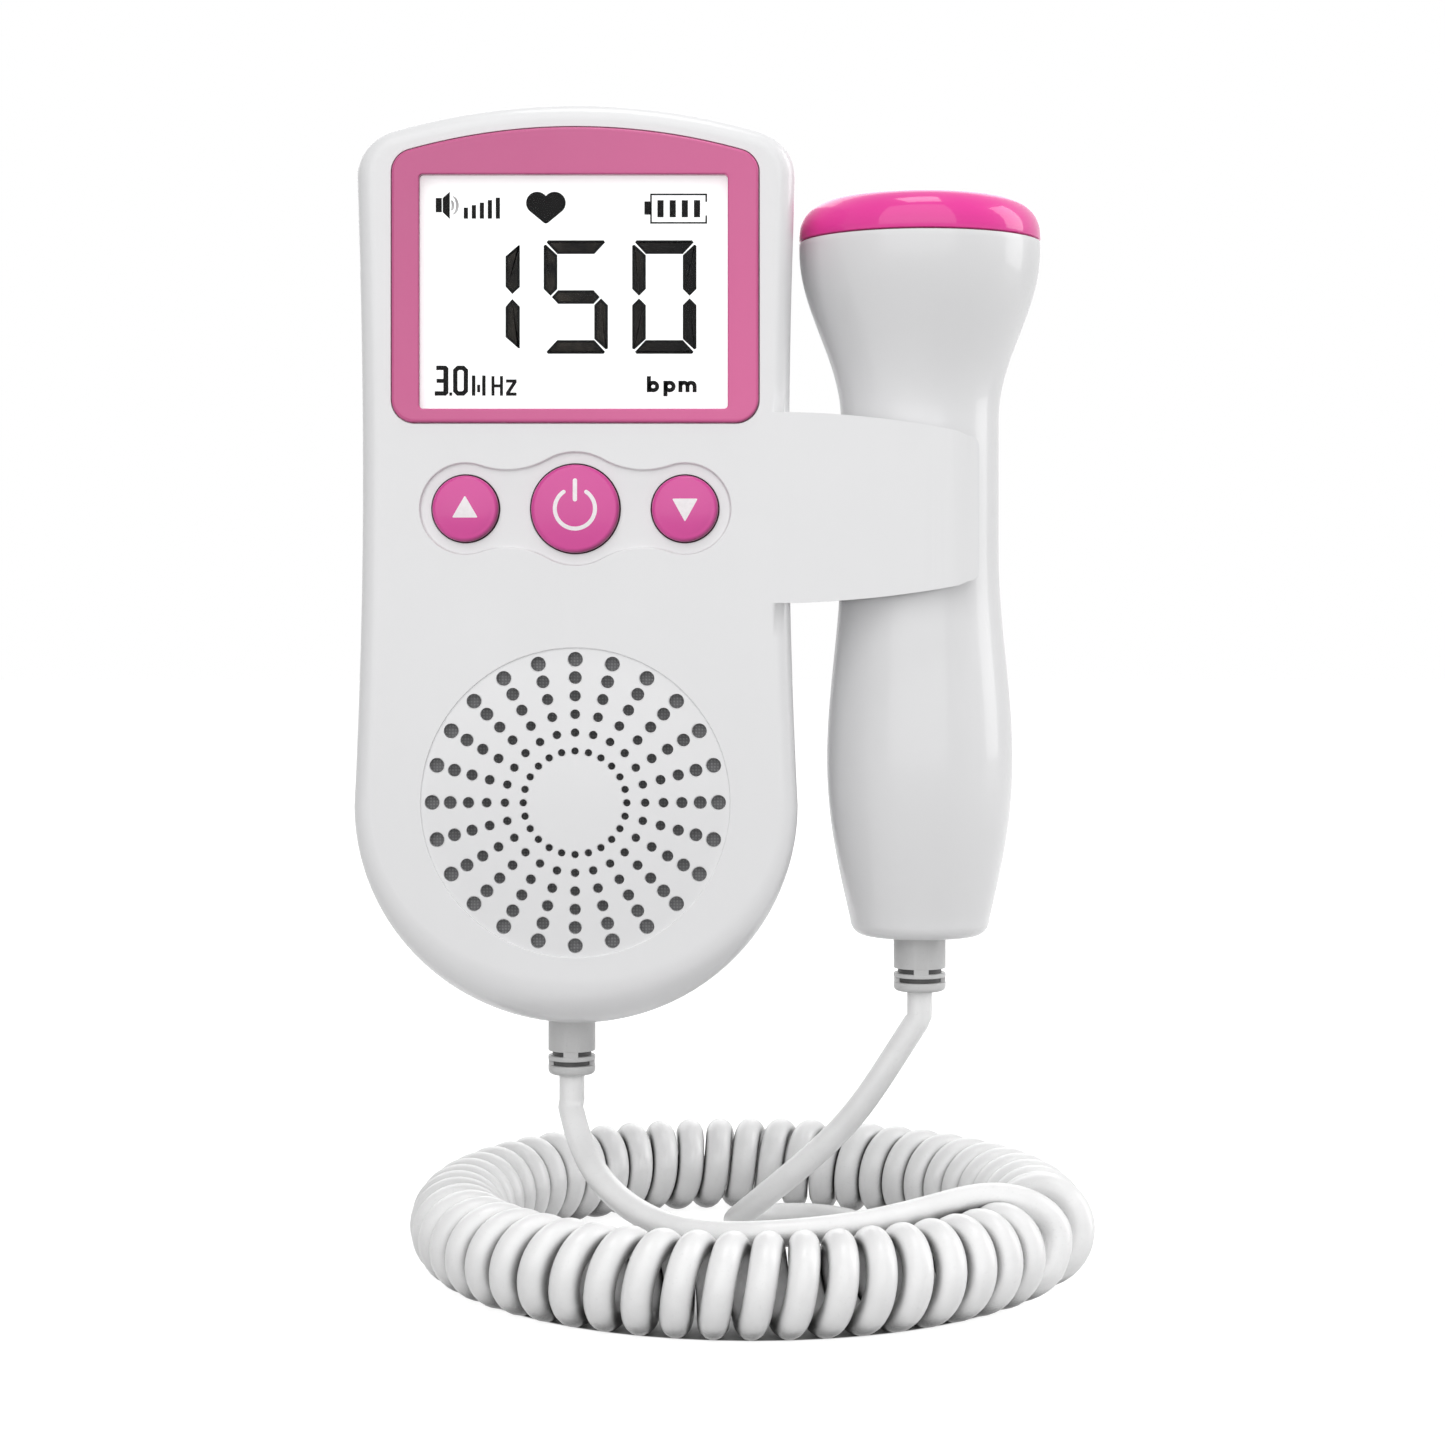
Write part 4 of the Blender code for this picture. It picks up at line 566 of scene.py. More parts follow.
def bridge(build, rings, closed=False):
    """Faces between rings of equally many points, capped at both ends or closed to a loop."""
    loops = [[build.verts.new(point) for point in ring] for ring in rings]
    for lower, upper in zip(loops, loops[1:] + loops[:1] if closed else loops[1:]):
        for i in range(len(lower)):
            j = (i + 1) % len(lower)
            build.faces.new((lower[i], lower[j], upper[j], upper[i]))
    if not closed:
        build.faces.new(list(reversed(loops[0])))
        build.faces.new(loops[-1])


def loft(name, rings, finish=WHITE, sharp=SHARP):
    """A closed solid through rings of equally many points."""
    build = bmesh.new()
    bridge(build, rings)
    return finish_mesh(name, build, finish, sharp)


def slab(name, outline, levels, finish=WHITE):
    """A solid through (Y, grow) levels of an outline that can grow, as X and Z points."""
    return loft(name, [[(x, y, z) for x, z in outline(grow)] for y, grow in levels], finish)


def prism(name, outline, start, end, finish=WHITE):
    """The outline, as X and Z points, pushed along Y from start to end."""
    return slab(name, lambda grow: outline, ((start, 0.0), (end, 0.0)), finish)


def block(name, low, high):
    """A box between two corners."""
    outline = [(low[0], low[2]), (high[0], low[2]), (high[0], high[2]), (low[0], high[2])]
    return prism(name, outline, low[1], high[1])


def quarter(steps, first=0):
    """Even turns of a quarter round, without the first ones."""
    return [math.pi / 2 * step / steps for step in range(first, steps + 1)]


def rounding(radius, steps):
    """A quarter round as (depth, inset) from the flat to the side."""
    return [(radius * (1 - math.cos(turn)), radius * (1 - math.sin(turn))) for turn in quarter(steps)]


def turned(name, profile, centre, finish=WHITE, along="Z", steps=ROUND_STEPS, half=None):
    """A solid of revolution from (radius, level) points about an axis through the centre.

    A profile that starts and ends on the axis is open, any other is a closed loop. The half
    "front" or "rear" makes only the side with Y below or above the axis.
    """
    build = bmesh.new()
    sweep = math.pi if half else math.tau
    first = math.pi if half == "front" else 0.0
    columns = []
    poles = {}
    for step in range(steps + 1 if half else steps):
        angle = first + sweep * step / steps
        column = []
        for i, (radius, level) in enumerate(profile):
            across, aside = radius * math.cos(angle), radius * math.sin(angle)
            if radius > 0 or i not in poles:
                spot = (across, aside, level) if along == "Z" else (across, level, aside)
                vertex = build.verts.new(Vector(centre) + Vector(spot))
                if radius == 0:
                    poles[i] = vertex
            column.append(poles[i] if radius == 0 else vertex)
        columns.append(column)
    pairs = list(zip(columns, columns[1:]))
    if half:
        build.faces.new(columns[0])
        build.faces.new(list(reversed(columns[-1])))
    else:
        pairs.append((columns[-1], columns[0]))
    for left, right in pairs:
        for i in range(len(profile) if profile[0][0] > 0 else len(profile) - 1):
            j = (i + 1) % len(profile)
            unique = list(dict.fromkeys([left[i], left[j], right[j], right[i]]))
            if len(unique) > 2:
                build.faces.new(unique)
    return finish_mesh(name, build, finish)


def modified(target, kind, **settings):
    """The target with a modifier applied, in its one finish."""
    modifier = target.modifiers.new(kind.lower(), kind)
    for key, value in settings.items():
        setattr(modifier, key, value)
    graph = bpy.context.evaluated_depsgraph_get()
    before, result = target.data, bpy.data.meshes.new_from_object(target.evaluated_get(graph))
    result.materials.clear()
    result.materials.append(before.materials[0])
    target.modifiers.clear()
    target.data = result
    bpy.data.meshes.remove(before)
    result.name = target.name
    result.shade_smooth()
    result.set_sharp_from_angle(angle=SHARP)
    return target


def boolean(target, other, operation):
    """Applies a Boolean of the other object to the target and removes the other."""
    modified(target, "BOOLEAN", operation=operation, solver="EXACT", object=other)
    bpy.data.objects.remove(other)


def cut(target, *others):
    for other in others:
        boolean(target, other, "DIFFERENCE")


def join(target, *others):
    for other in others:
        boolean(target, other, "UNION")


def bevelled(target, width, angle=math.radians(40), segments=3):
    """Rounds the target's edges that turn more than the angle."""
    return modified(target, "BEVEL", width=width, segments=segments, limit_method="ANGLE", angle_limit=angle,
                    harden_normals=False)


def steadied(target):
    """Keeps large flat faces evenly shaded: the roundings next to them turn into them."""
    return modified(target, "WEIGHTED_NORMAL", weight=60, keep_sharp=True)


def arc(centre, radius, first, last, steps):
    """Points of an arc with their outward normals, angles in radians."""
    points = []
    for step in range(steps + 1):
        angle = first + (last - first) * step / steps
        normal = (math.cos(angle), math.sin(angle))
        points.append((centre[0] + radius * normal[0], centre[1] + radius * normal[1], *normal))
    return points


def bare(points):
    """The points of an arc, or of several, without their normals."""
    return [point[:2] for point in points]


def rounded_box(half_width, bottom, top, radius, steps=8):
    """A rectangle with round corners, as X, Z points."""
    points = []
    right, low, high = half_width - radius, bottom + radius, top - radius
    for number, corner in enumerate(((right, low), (right, high), (-right, high), (-right, low)), -1):
        first = math.pi / 2 * number
        points += arc(corner, radius, first, first + math.pi / 2, steps)
    return bare(points)


def circle(centre, radius, steps=ROUND_STEPS):
    """A circle as X, Z points."""
    return bare(arc(centre, radius, 0, math.tau, steps)[:-1])


def piece(made, body, finish_slot, *nodes):
    """Rides the piece on its body and hides the solids that it stands for. Its finish slot is not used."""
    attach(made, body)
    if nodes:
        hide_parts(*nodes)


# Floor, light and camera

def aimed(name, data, place, target):
    """A lamp or camera at the place that faces the target."""
    made = bpy.data.objects.new(name, data)
    made.location = place
    made.rotation_euler = (Vector(target) - Vector(place)).to_track_quat("-Z", "Y").to_euler()
    bpy.context.scene.collection.objects.link(made)
    return made


def area(name, place, target, width, height, power):
    """A soft rectangular lamp that faces the target."""
    lamp = bpy.data.lights.new(name, "AREA")
    lamp.shape = "RECTANGLE"
    lamp.size, lamp.size_y, lamp.energy = width, height, power
    aimed(name, lamp, place, target)


def make_world():
    """White where the camera, a reflection or glass shows it, and else a dim even light."""
    world = bpy.data.worlds.new("studio")
    bpy.context.scene.world = world
    made = Nodes(world)
    white = (1.0, 1.0, 1.0, 1.0)
    light = made.tree.nodes["Background"]
    made.feed(light, {"Color": white, "Strength": WORLD_LIGHT})
    shown = made.node("ShaderNodeBackground", {"Color": white, "Strength": 1.0})
    mix = made.node("ShaderNodeMixShader", {0: made.shown_factor(), 1: light.outputs[0], 2: shown[0]})
    made.feed(made.tree.nodes["World Output"], {"Surface": mix[0]})


def ring_shade(made):
    """1 on the open floor, less under the front of the coiled cord, where little light gets in."""
    parts = made.node("ShaderNodeSeparateXYZ", {"Vector": made.place})
    aside = made.maths("SUBTRACT", parts["X"], RING_X)
    ahead = made.maths("SUBTRACT", parts["Y"], RING_Y)
    squares = [made.maths("MULTIPLY", reach, reach) for reach in (aside, ahead)]
    away = made.maths("SQRT", made.maths("ADD", *squares), 0.0)
    inner = made.ranged(away, RING_RADIUS - SHADE_REACH, RING_RADIUS - SHADE_FULL, SHADE_MIDDLE, 1.0)
    outer = made.ranged(away, RING_RADIUS + SHADE_END, RING_RADIUS + SHADE_GONE, 1.0, 0.0)
    front = made.ranged(ahead, SHADE_AHEAD, SHADE_BEHIND, 1.0, 0.0)
    shade = made.maths("MULTIPLY", made.maths("MULTIPLY", inner, outer), front)
    return made.ranged(shade, 0.0, 1.0, 1.0, 0.0)


def make_floor():
    """A wide pale floor that shows white where nothing shades it."""
    build = bmesh.new()
    corners = ((-1, -1), (1, -1), (1, 1), (-1, 1))
    build.faces.new([
        build.verts.new((FLOOR_REACH * x, FLOOR_REACH * y, SURFACE - FLOOR_CLEARANCE)) for x, y in corners
    ])
    made = Nodes("floor")
    lift = made.maths("MULTIPLY", made.shown_factor(), FLOOR_LIFT)
    made.dressed(
        made.mixed(made.cloud((0.3, 0.7), 900, 2), (0.5, 0.5, 0.5), (0.52, 0.52, 0.52)),
        roughness=0.9, specular_ior_level=0.1, emission_color=(1.0, 1.0, 1.0, 1.0),
        emission_strength=made.maths("MULTIPLY", lift, ring_shade(made)),
    )
    finish_mesh("floor", build, made.owner)


WORLD_LIGHT = 0.24
FLOOR_REACH = 4.0
FLOOR_CLEARANCE = 0.0001
FLOOR_LIFT = 0.9
SHADE_REACH = 0.03
SHADE_FULL = 0.012
SHADE_MIDDLE = 0.55
SHADE_END = 0.0004
SHADE_GONE = 0.001
SHADE_AHEAD = -0.018
SHADE_BEHIND = 0.012
CAMERA_PLACE = (0.0235, -0.495, -0.0071)
CAMERA_TARGET = (0.0235, -0.034, -0.0071)
CAMERA_SHIFT = -0.0777
LENS_MM = 72.0
SENSOR_MM = 36.0

camera_data = bpy.data.cameras.new("camera")
camera_data.lens = LENS_MM
camera_data.sensor_width = SENSOR_MM
camera_data.shift_y = CAMERA_SHIFT
camera_data.clip_start = 0.01
bpy.context.scene.camera = aimed("camera", camera_data, CAMERA_PLACE, CAMERA_TARGET)
bpy.context.scene.view_settings.view_transform = "Standard"

make_world()
make_floor()
area("front_panel", (-0.1375, -1.2, 1.05), (-0.1375, 0.0, 1.05), 1.785, 2.3, 20.0)
area("right_side", (1.05, 0.12, 0.4), (0.09, 0.0, 0.05), 0.5, 1.0, 5.0)
area("back_fill", (-0.2, 1.3, 0.75), (0.0, 0.0, 0.0), 1.6, 1.2, 7.0)
area("overhead", (0.05, -0.15, 1.2), (0.02, 0.0, 0.0), 0.45, 0.45, 3.0)


# Cord

def curl_place(turn):
    """The curly cord's centreline: the turn runs from the first curl's bottom, in radians."""
    bearing = CURL_START + turn / CURLS_PER_CIRCLE + CURL_STRETCH * (1 - math.exp(-turn / CURL_EASE))
    bearing += CURL_BULGE * math.exp(-((turn - CURL_TURNS + BULGE_BACK) / BULGE_WIDTH) ** 2)
    radius = CURL_RADIUS + CURL_SWELL * math.exp(-turn / CURL_EASE)
    radius += END_SWELL * math.exp((turn - CURL_TURNS) / CURL_EASE)
    away = RING_RADIUS + radius * math.sin(turn)
    height = SURFACE + CURL_CORD_RADIUS + radius * (1 - math.cos(turn))
    return Vector((RING_X + away * math.cos(bearing), RING_Y + away * math.sin(bearing), height))


def curl_end(turn, side):
    """The unit direction in which the cord leaves the curls at the turn, forward (1) or back (-1)."""
    return (curl_place(turn + side * math.radians(1)) - curl_place(turn)).normalized()


def smooth_route(points, spacing):
    """Evenly spaced points of a smooth curve through the route's own points."""
    points = [Vector(point) for point in points]
    fine = [points[0]]
    for before, start, end, after in zip(points, points[1:], points[2:], points[3:]):
        for step in range(ROUTE_STEPS):
            share = step / ROUTE_STEPS
            bend = 2 * before - 5 * start + 4 * end - after
            twist = 3 * start - before - 3 * end + after
            fine.append((2 * start + (end - before) * share + bend * share**2 + twist * share**3) / 2)
    fine += points[-2:]
    even = [fine[0]]
    for point in fine[1:-1]:
        if (point - even[-1]).length >= spacing:
            even.append(point)
    return [*even, fine[-1]]


def relaxed(points, rounds, first, last):
    """The points with the sharp turns from the first to before the last eased."""
    for _ in range(rounds):
        eased = [(points[i - 1] + points[i] * 2 + points[i + 1]) / 4 for i in range(first, last)]
        points = [*points[:first], *eased, *points[last:]]
    return points


def lead_line(route):
    """The smooth centreline of a lead, whose first and last points stay."""
    line = smooth_route(route, ROUTE_SPACING)
    return relaxed(line, LEAD_ROUNDS, LEAD_HOLD, len(line) - LEAD_HOLD)


def tube(name, points, radii):
    """A closed round tube of the cord's sheath along the points, its sides carried along without twist."""
    across = (points[1] - points[0]).orthogonal().normalized()
    turns = [math.tau * side / CORD_SIDES for side in range(CORD_SIDES)]
    rings = []
    for i, point in enumerate(points):
        along = (points[min(i + 1, len(points) - 1)] - points[max(i - 1, 0)]).normalized()
        across = (across - along * across.dot(along)).normalized()
        aside = along.cross(across)
        rings.append([
            point + (across * math.cos(turn) + aside * math.sin(turn)) * radii[i] for turn in turns
        ])
    return loft(name, rings, SHEATH, math.radians(60))


def thickness(i, lead_points):
    """The cord's radius at point i: the curls are a little thicker than the straight leads."""
    share = min(1.0, max(0.0, 1 + (i - lead_points) / THICKENING_POINTS))
    return CORD_RADIUS + (CURL_CORD_RADIUS - CORD_RADIUS) * share


ROUTE_STEPS = 24
ROUTE_SPACING = 0.0012
LEAD_ROUNDS = 60
LEAD_HOLD = 3
JOIN_ROUNDS = 16
JOIN_SPAN = 12
THICKENING_POINTS = 12
RUN = 2 * CORD_RADIUS
LEAN_IN = curl_end(0, -1)
LEAN_OUT = curl_end(CURL_TURNS, 1)
curl_steps = round(CURL_TURNS / math.tau * POINTS_PER_CURL)
curls = [curl_place(CURL_TURNS * step / curl_steps) for step in range(curl_steps + 1)]
unit_exit = Vector((BOOT_X, PARTING, FLOOR - GAP - BOOT_LENGTH))
probe_exit = Vector((PROBE_X, PARTING, PROBE_BOTTOM - GAP - PROBE_BOOT_LENGTH))
down = Vector((0, 0, -RUN))
unit_route = [unit_exit, unit_exit + down, *UNIT_LEAD_ROUTE]
unit_route += [curls[-1] + LEAN_OUT * RUN, curls[-1] + LEAN_OUT * RUN / 2]
probe_route = [probe_exit, probe_exit + down, *PROBE_LEAD_ROUTE]
probe_route += [curls[0] + LEAN_IN * (GAP + 2 * RUN), curls[0] + LEAN_IN * RUN]
unit_lead = lead_line(unit_route)
join_at = len(unit_lead)
main_line = relaxed(unit_lead + curls[::-1], JOIN_ROUNDS, join_at - JOIN_SPAN, join_at + JOIN_SPAN)
probe_line = lead_line(probe_route) + [curls[0]]
main_cord = tube("cord_main", main_line, [thickness(i, join_at) for i in range(len(main_line))])
piece(main_cord, "case", "cord_sheath", "cord_unit_lead", "curly_cord")
probe_radii = [thickness(i, len(probe_line)) for i in range(len(probe_line))]
probe_cord = tube("cord_probe", probe_line, probe_radii)
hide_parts("cord_probe_lead")
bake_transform(probe_cord)


# Case

def mirrored(points):
    """Outline points with normals, in the order and places of the case's other side."""
    return [(-x, z, -normal_x, normal_z) for x, z, normal_x, normal_z in reversed(points)]


def flank(level):
    """Half the case's width between the chin's centre and the shoulder: a slight waist."""
    end, width = (CHIN_CENTRE, BODY_WIDTH) if level < WAIST else (SHOULDER, SHOULDER_WIDTH)
    return (WAIST_WIDTH + (width - WAIST_WIDTH) * ((level - WAIST) / (end - WAIST)) ** 2) / 2


def case_outline():
    """The case's outline from the front as (x, z, normal x, normal z)."""
    crown_centre = CROWN - TOP_RADIUS
    corner_x = SHOULDER_WIDTH / 2 - CORNER_RADIUS
    corner_z = crown_centre + math.sqrt((TOP_RADIUS - CORNER_RADIUS) ** 2 - corner_x**2)
    lean = math.atan2(corner_z - crown_centre, corner_x)
    chin = arc((0, CHIN_CENTRE), CHIN_RADIUS, -math.pi, 0, CHIN_STEPS)
    right = []
    for step in range(1, SIDE_STEPS + 1):
        level = CHIN_CENTRE + (corner_z - CHIN_CENTRE) * step / (SIDE_STEPS + 1)
        right.append((flank(level), level, 1.0, 0.0))
    right += arc((corner_x, corner_z), CORNER_RADIUS, 0, lean, ARC_STEPS)
    top = arc((0, crown_centre), TOP_RADIUS, lean, math.pi - lean, 2 * ARC_STEPS)[1:-1]
    return chin + right + top + mirrored(right)


def case_ring(side, wall, inward, back, level):
    """One ring of the front (-1) or rear (1) cover, set in by the wall.

    Its edge radius there, less the wall, times inward and back, moves it in and off the level.
    """
    ring = []
    for x, z, normal_x, normal_z in OUTLINE:
        chin = max(0.0, -normal_z) ** 2 if side < 0 else 0.0
        edge = EDGE_RADIUS + (CHIN_EDGE_RADIUS - EDGE_RADIUS) * chin - wall
        inset = wall + edge * inward
        ring.append((x - normal_x * inset, level - side * edge * back, z - normal_z * inset))
    return ring


def case_half(name, side):
    """The outer form of a cover, its outer edge round and its seam eased."""
    face = FRONT if side < 0 else 0.0
    seam = PARTING + side * GAP / 2
    rings = [case_ring(side, 0.0, 1 - math.cos(turn), 1 - math.sin(turn), face)
             for turn in reversed(quarter(EDGE_STEPS))]
    rings.append(case_ring(side, 0.0, 0.0, 0.0, seam + side * SEAM_EASE))
    rings.append(case_ring(side, SEAM_EASE, 0.0, 0.0, seam))
    return loft(name, rings)


def case_hollow(side):
    """The space inside a cover, open past the seam."""
    near = FRONT + WALL if side < 0 else -WALL
    rings = [case_ring(side, WALL, 1 - math.sin(turn), 1 - math.cos(turn), near) for turn in quarter(3)]
    return loft("hollow", [*rings, case_ring(side, WALL, 0.0, 0.0, PARTING - side * OVERRUN)])


def mouth(depth_from, depth_to, ease):
    """(Y, grow) levels of a cutter whose mouth, at the first depth, is rounded by the ease."""
    inward = math.copysign(1.0, depth_to - depth_from)
    levels = [(depth_from + inward * depth, inset) for depth, inset in rounding(ease, 4)]
    return [(depth_from - inward * OVERRUN, ease), *levels, (depth_to, 0.0)]


def bezel_outline(grow):
    """The bezel's outline: straight sides, round lower corners, and a top that follows the case."""
    corner = BEZEL_CORNER + grow
    radius = BEZEL_TOP_RADIUS + grow
    centre = BEZEL_TOP - BEZEL_TOP_RADIUS
    corner_x = BEZEL_WIDTH / 2 + grow - corner
    corner_z = centre + math.sqrt((radius - corner) ** 2 - corner_x**2)
    lean = math.atan2(corner_z - centre, corner_x)
    low = BEZEL_BOTTOM - grow + corner
    right = arc((corner_x, low), corner, -math.pi / 2, 0, ARC_STEPS)
    right += arc((corner_x, corner_z), corner, 0, lean, ARC_STEPS)
    top = arc((0, centre), radius, lean, math.pi - lean, 3 * ARC_STEPS)[1:-1]
    return bare(right + top + mirrored(right))


def view_outline(grow):
    """The display's opening, a little off the middle."""
    corner = VIEW_CORNER + max(grow, 0)
    box = rounded_box(VIEW_WIDTH / 2 + grow, VIEW_BOTTOM - grow, VIEW_TOP + grow, corner)
    return [(x + VIEW_ASIDE, z) for x, z in box]


def recess_outline(grow):
    """The cloud-shaped recess round the buttons: three lobes and the fillets between them."""
    power, side_lobe, hollow = POWER_LOBE + grow, SIDE_LOBE + grow, LOBE_FILLET - grow
    reach = power + hollow
    side_reach = side_lobe + hollow
    fillet_x = (reach**2 - side_reach**2 + BUTTON_SPACING**2) / (2 * BUTTON_SPACING)
    fillet_z = math.sqrt(reach**2 - fillet_x**2)
    power_turn = math.atan2(fillet_z, fillet_x)
    side_turn = math.atan2(fillet_z, fillet_x - BUTTON_SPACING)
    side = arc((BUTTON_SPACING, 0), side_lobe, 0, side_turn, 2 * ARC_STEPS)
    fillet = arc((fillet_x, fillet_z), hollow, side_turn - math.pi, power_turn - math.pi, ARC_STEPS)
    crown = arc((0, 0), power, power_turn, math.pi / 2, ARC_STEPS)
    right = bare(side + fillet[1:-1] + crown)
    top = right + [(-x, z) for x, z in reversed(right[:-1])]
    around = top + [(x, -z) for x, z in reversed(top[1:-1])]
    return [(x, BUTTON_ROW + z) for x, z in around]


def dome_level(away):
    """The grille's front surface at a distance from its middle: a low dome in a shallow seat."""
    rim = GRILLE_DOME - math.sqrt(GRILLE_DOME**2 - DISH_RADIUS**2)
    drop = GRILLE_DOME - math.sqrt(GRILLE_DOME**2 - min(away, DISH_RADIUS) ** 2)
    return FRONT + DISH_DEPTH - rim + drop


def grille_cutter():
    """All the grille's holes as one cutter: rays of holes that grow outwards, each with an eased mouth."""
    build = bmesh.new()
    for ring in range(GRILLE_RINGS):
        share = ring / (GRILLE_RINGS - 1)
        away = GRILLE_INNER + (GRILLE_OUTER - GRILLE_INNER) * share
        hole = SMALL_HOLE * (LARGE_HOLE / SMALL_HOLE) ** share
        face = dome_level(away)
        levels = ((INNER_FRONT + OVERRUN, 0.0), (face + HOLE_EASE, 0.0),
                  (face + HOLE_EASE / 3, HOLE_EASE / 3), (face, HOLE_EASE), (face - OVERRUN, HOLE_EASE))
        for ray in range(GRILLE_RAYS):
            turn = math.tau * ray / GRILLE_RAYS
            centre = (away * math.sin(turn), GRILLE_CENTRE + away * math.cos(turn))
            bridge(build, [
                [(x, y, z) for x, z in circle(centre, hole + grow, HOLE_STEPS)] for y, grow in levels
            ])
    return finish_mesh("grille_cutter", build)


def dome_shell():
    """The domed disc that carries the grille's holes, let into the cover all round."""
    front = [(DISH_RADIUS * step / DOME_STEPS, dome_level(DISH_RADIUS * step / DOME_STEPS))
             for step in range(DOME_STEPS + 1)]
    back = [(radius, level + GRILLE_WALL) for radius, level in reversed(front)]
    lap = [(DISH_RADIUS + GRILLE_LAP, level + GRILLE_LAP) for _, level in (front[-1], back[0])]
    return turned("dome", [*front, *lap, *back], (0, 0, GRILLE_CENTRE), along="Y")


def dome_shaded(target):
    """Shades the grille as its true curve, so that the holes leave no streaks round them."""
    mesh = target.data
    normals = [corner.vector.copy() for corner in mesh.corner_normals]
    for face in mesh.polygons:
        away = math.hypot(face.center.x, face.center.z - GRILLE_CENTRE)
        on_dome = away < DISH_RADIUS and abs(face.center.y - dome_level(away)) < FACET_SLACK
        if on_dome and face.normal.y < DOME_FACING:
            for corner in face.loop_indices:
                place = mesh.vertices[mesh.loops[corner].vertex_index].co
                aside, up = place.x, place.z - GRILLE_CENTRE
                ahead = -math.sqrt(GRILLE_DOME**2 - aside**2 - up**2)
                normals[corner] = Vector((aside, ahead, up)).normalized()
    mesh.normals_split_custom_set(normals)
    return target


def clip_edge(root, root_level, tip_level):
    """The clip's upper or lower edge from the case to its tip's corner, as X and Z points."""
    points = []
    for step in range(CLIP_STEPS + 1):
        share = CLIP_EDGE_SHARE * step / CLIP_STEPS
        points.append((root + (CLIP_REACH - root) * share, root_level + (tip_level - root_level) * share**2))
    return points


def clip_arm(side):
    """One half of the clip: the arm beside the neck and the saddle between it and the case."""
    inner = PARTING - CLIP_RADIUS
    root = WAIST_WIDTH / 2 - EDGE_RADIUS
    seam = PARTING - GAP / 2
    points = [(root, FRONT)]
    for step in range(CLIP_STEPS + 1):
        share = step / CLIP_STEPS
        points.append((
            CLIP_BEND_START + (CLIP_REACH - CLIP_BEND_START) * share,
            FRONT + (inner - CLIP_TIP_THICKNESS - FRONT) * share**2,
        ))
    around = arc((PROBE_X, PARTING), CLIP_RADIUS, -math.pi / 2, -math.pi, 24)
    points += [(CLIP_REACH, inner), *bare(around[:-1]), (PROBE_X - CLIP_RADIUS, seam), (root, seam)]
    if side == "rear":
        points = [(x, 2 * PARTING - y) for x, y in points]
    levels = (CLIP_ROOT_BOTTOM - OVERRUN, CLIP_ROOT_TOP + OVERRUN)
    arm = loft(side + "_arm", [[(x, y, z) for x, y in points] for z in levels])
    corner = CLIP_REACH - CLIP_TIP_CORNER
    tip = arc((corner, CLIP_TIP_TOP - CLIP_TIP_CORNER), CLIP_TIP_CORNER, math.pi / 2, 0, 8)
    tip += arc((corner, CLIP_TIP_BOTTOM + CLIP_TIP_CORNER), CLIP_TIP_CORNER, 0, -math.pi / 2, 8)
    outline = clip_edge(root, CLIP_ROOT_TOP, CLIP_TIP_TOP) + bare(tip)
    outline += reversed(clip_edge(root, CLIP_ROOT_BOTTOM, CLIP_TIP_BOTTOM))
    boolean(arm, prism("mask", outline, FRONT - OVERRUN, OVERRUN), "INTERSECT")
    weigh_clip_edges(arm)
    return modified(arm, "BEVEL", width=CLIP_ROUND, segments=5, limit_method="WEIGHT", use_clamp_overlap=True)


def weigh_clip_edges(arm):
    """Gives the arm's outer edges a full round, and its tip, bore and seam edges a small one."""
    build = bmesh.new()
    build.from_mesh(arm.data)
    flat = math.radians(0.5)
    bmesh.ops.dissolve_limit(build, angle_limit=flat, verts=build.verts[:], edges=build.edges[:])
    weights = build.edges.layers.float.new("bevel_weight_edge")
    for edge in build.edges:
        if len(edge.link_faces) != 2 or edge.calc_face_angle() < math.radians(40):
            continue
        middle = (edge.verts[0].co + edge.verts[1].co) / 2
        away = math.hypot(middle.x - PROBE_X, middle.y - PARTING)
        share = (CLIP_REACH - middle.x) / (CLIP_REACH - CLIP_BEND_START)
        inside = abs(middle.y - PARTING) < GAP or abs(away - CLIP_RADIUS) < GAP
        edge[weights] = CLIP_INSIDE_ROUND if inside else min(1.0, max(CLIP_TIP_ROUND, share))
    build.to_mesh(arm.data)
    build.free()


def boot_hole():
    """The round hole that the unit's strain relief passes through."""
    radius = BOOT_NECK_RADIUS + GAP
    profile = [(0, -OVERRUN), (radius, -OVERRUN), (radius, OVERRUN), (0, OVERRUN)]
    return turned("boot_hole", profile, (BOOT_X, PARTING, FLOOR), steps=40)


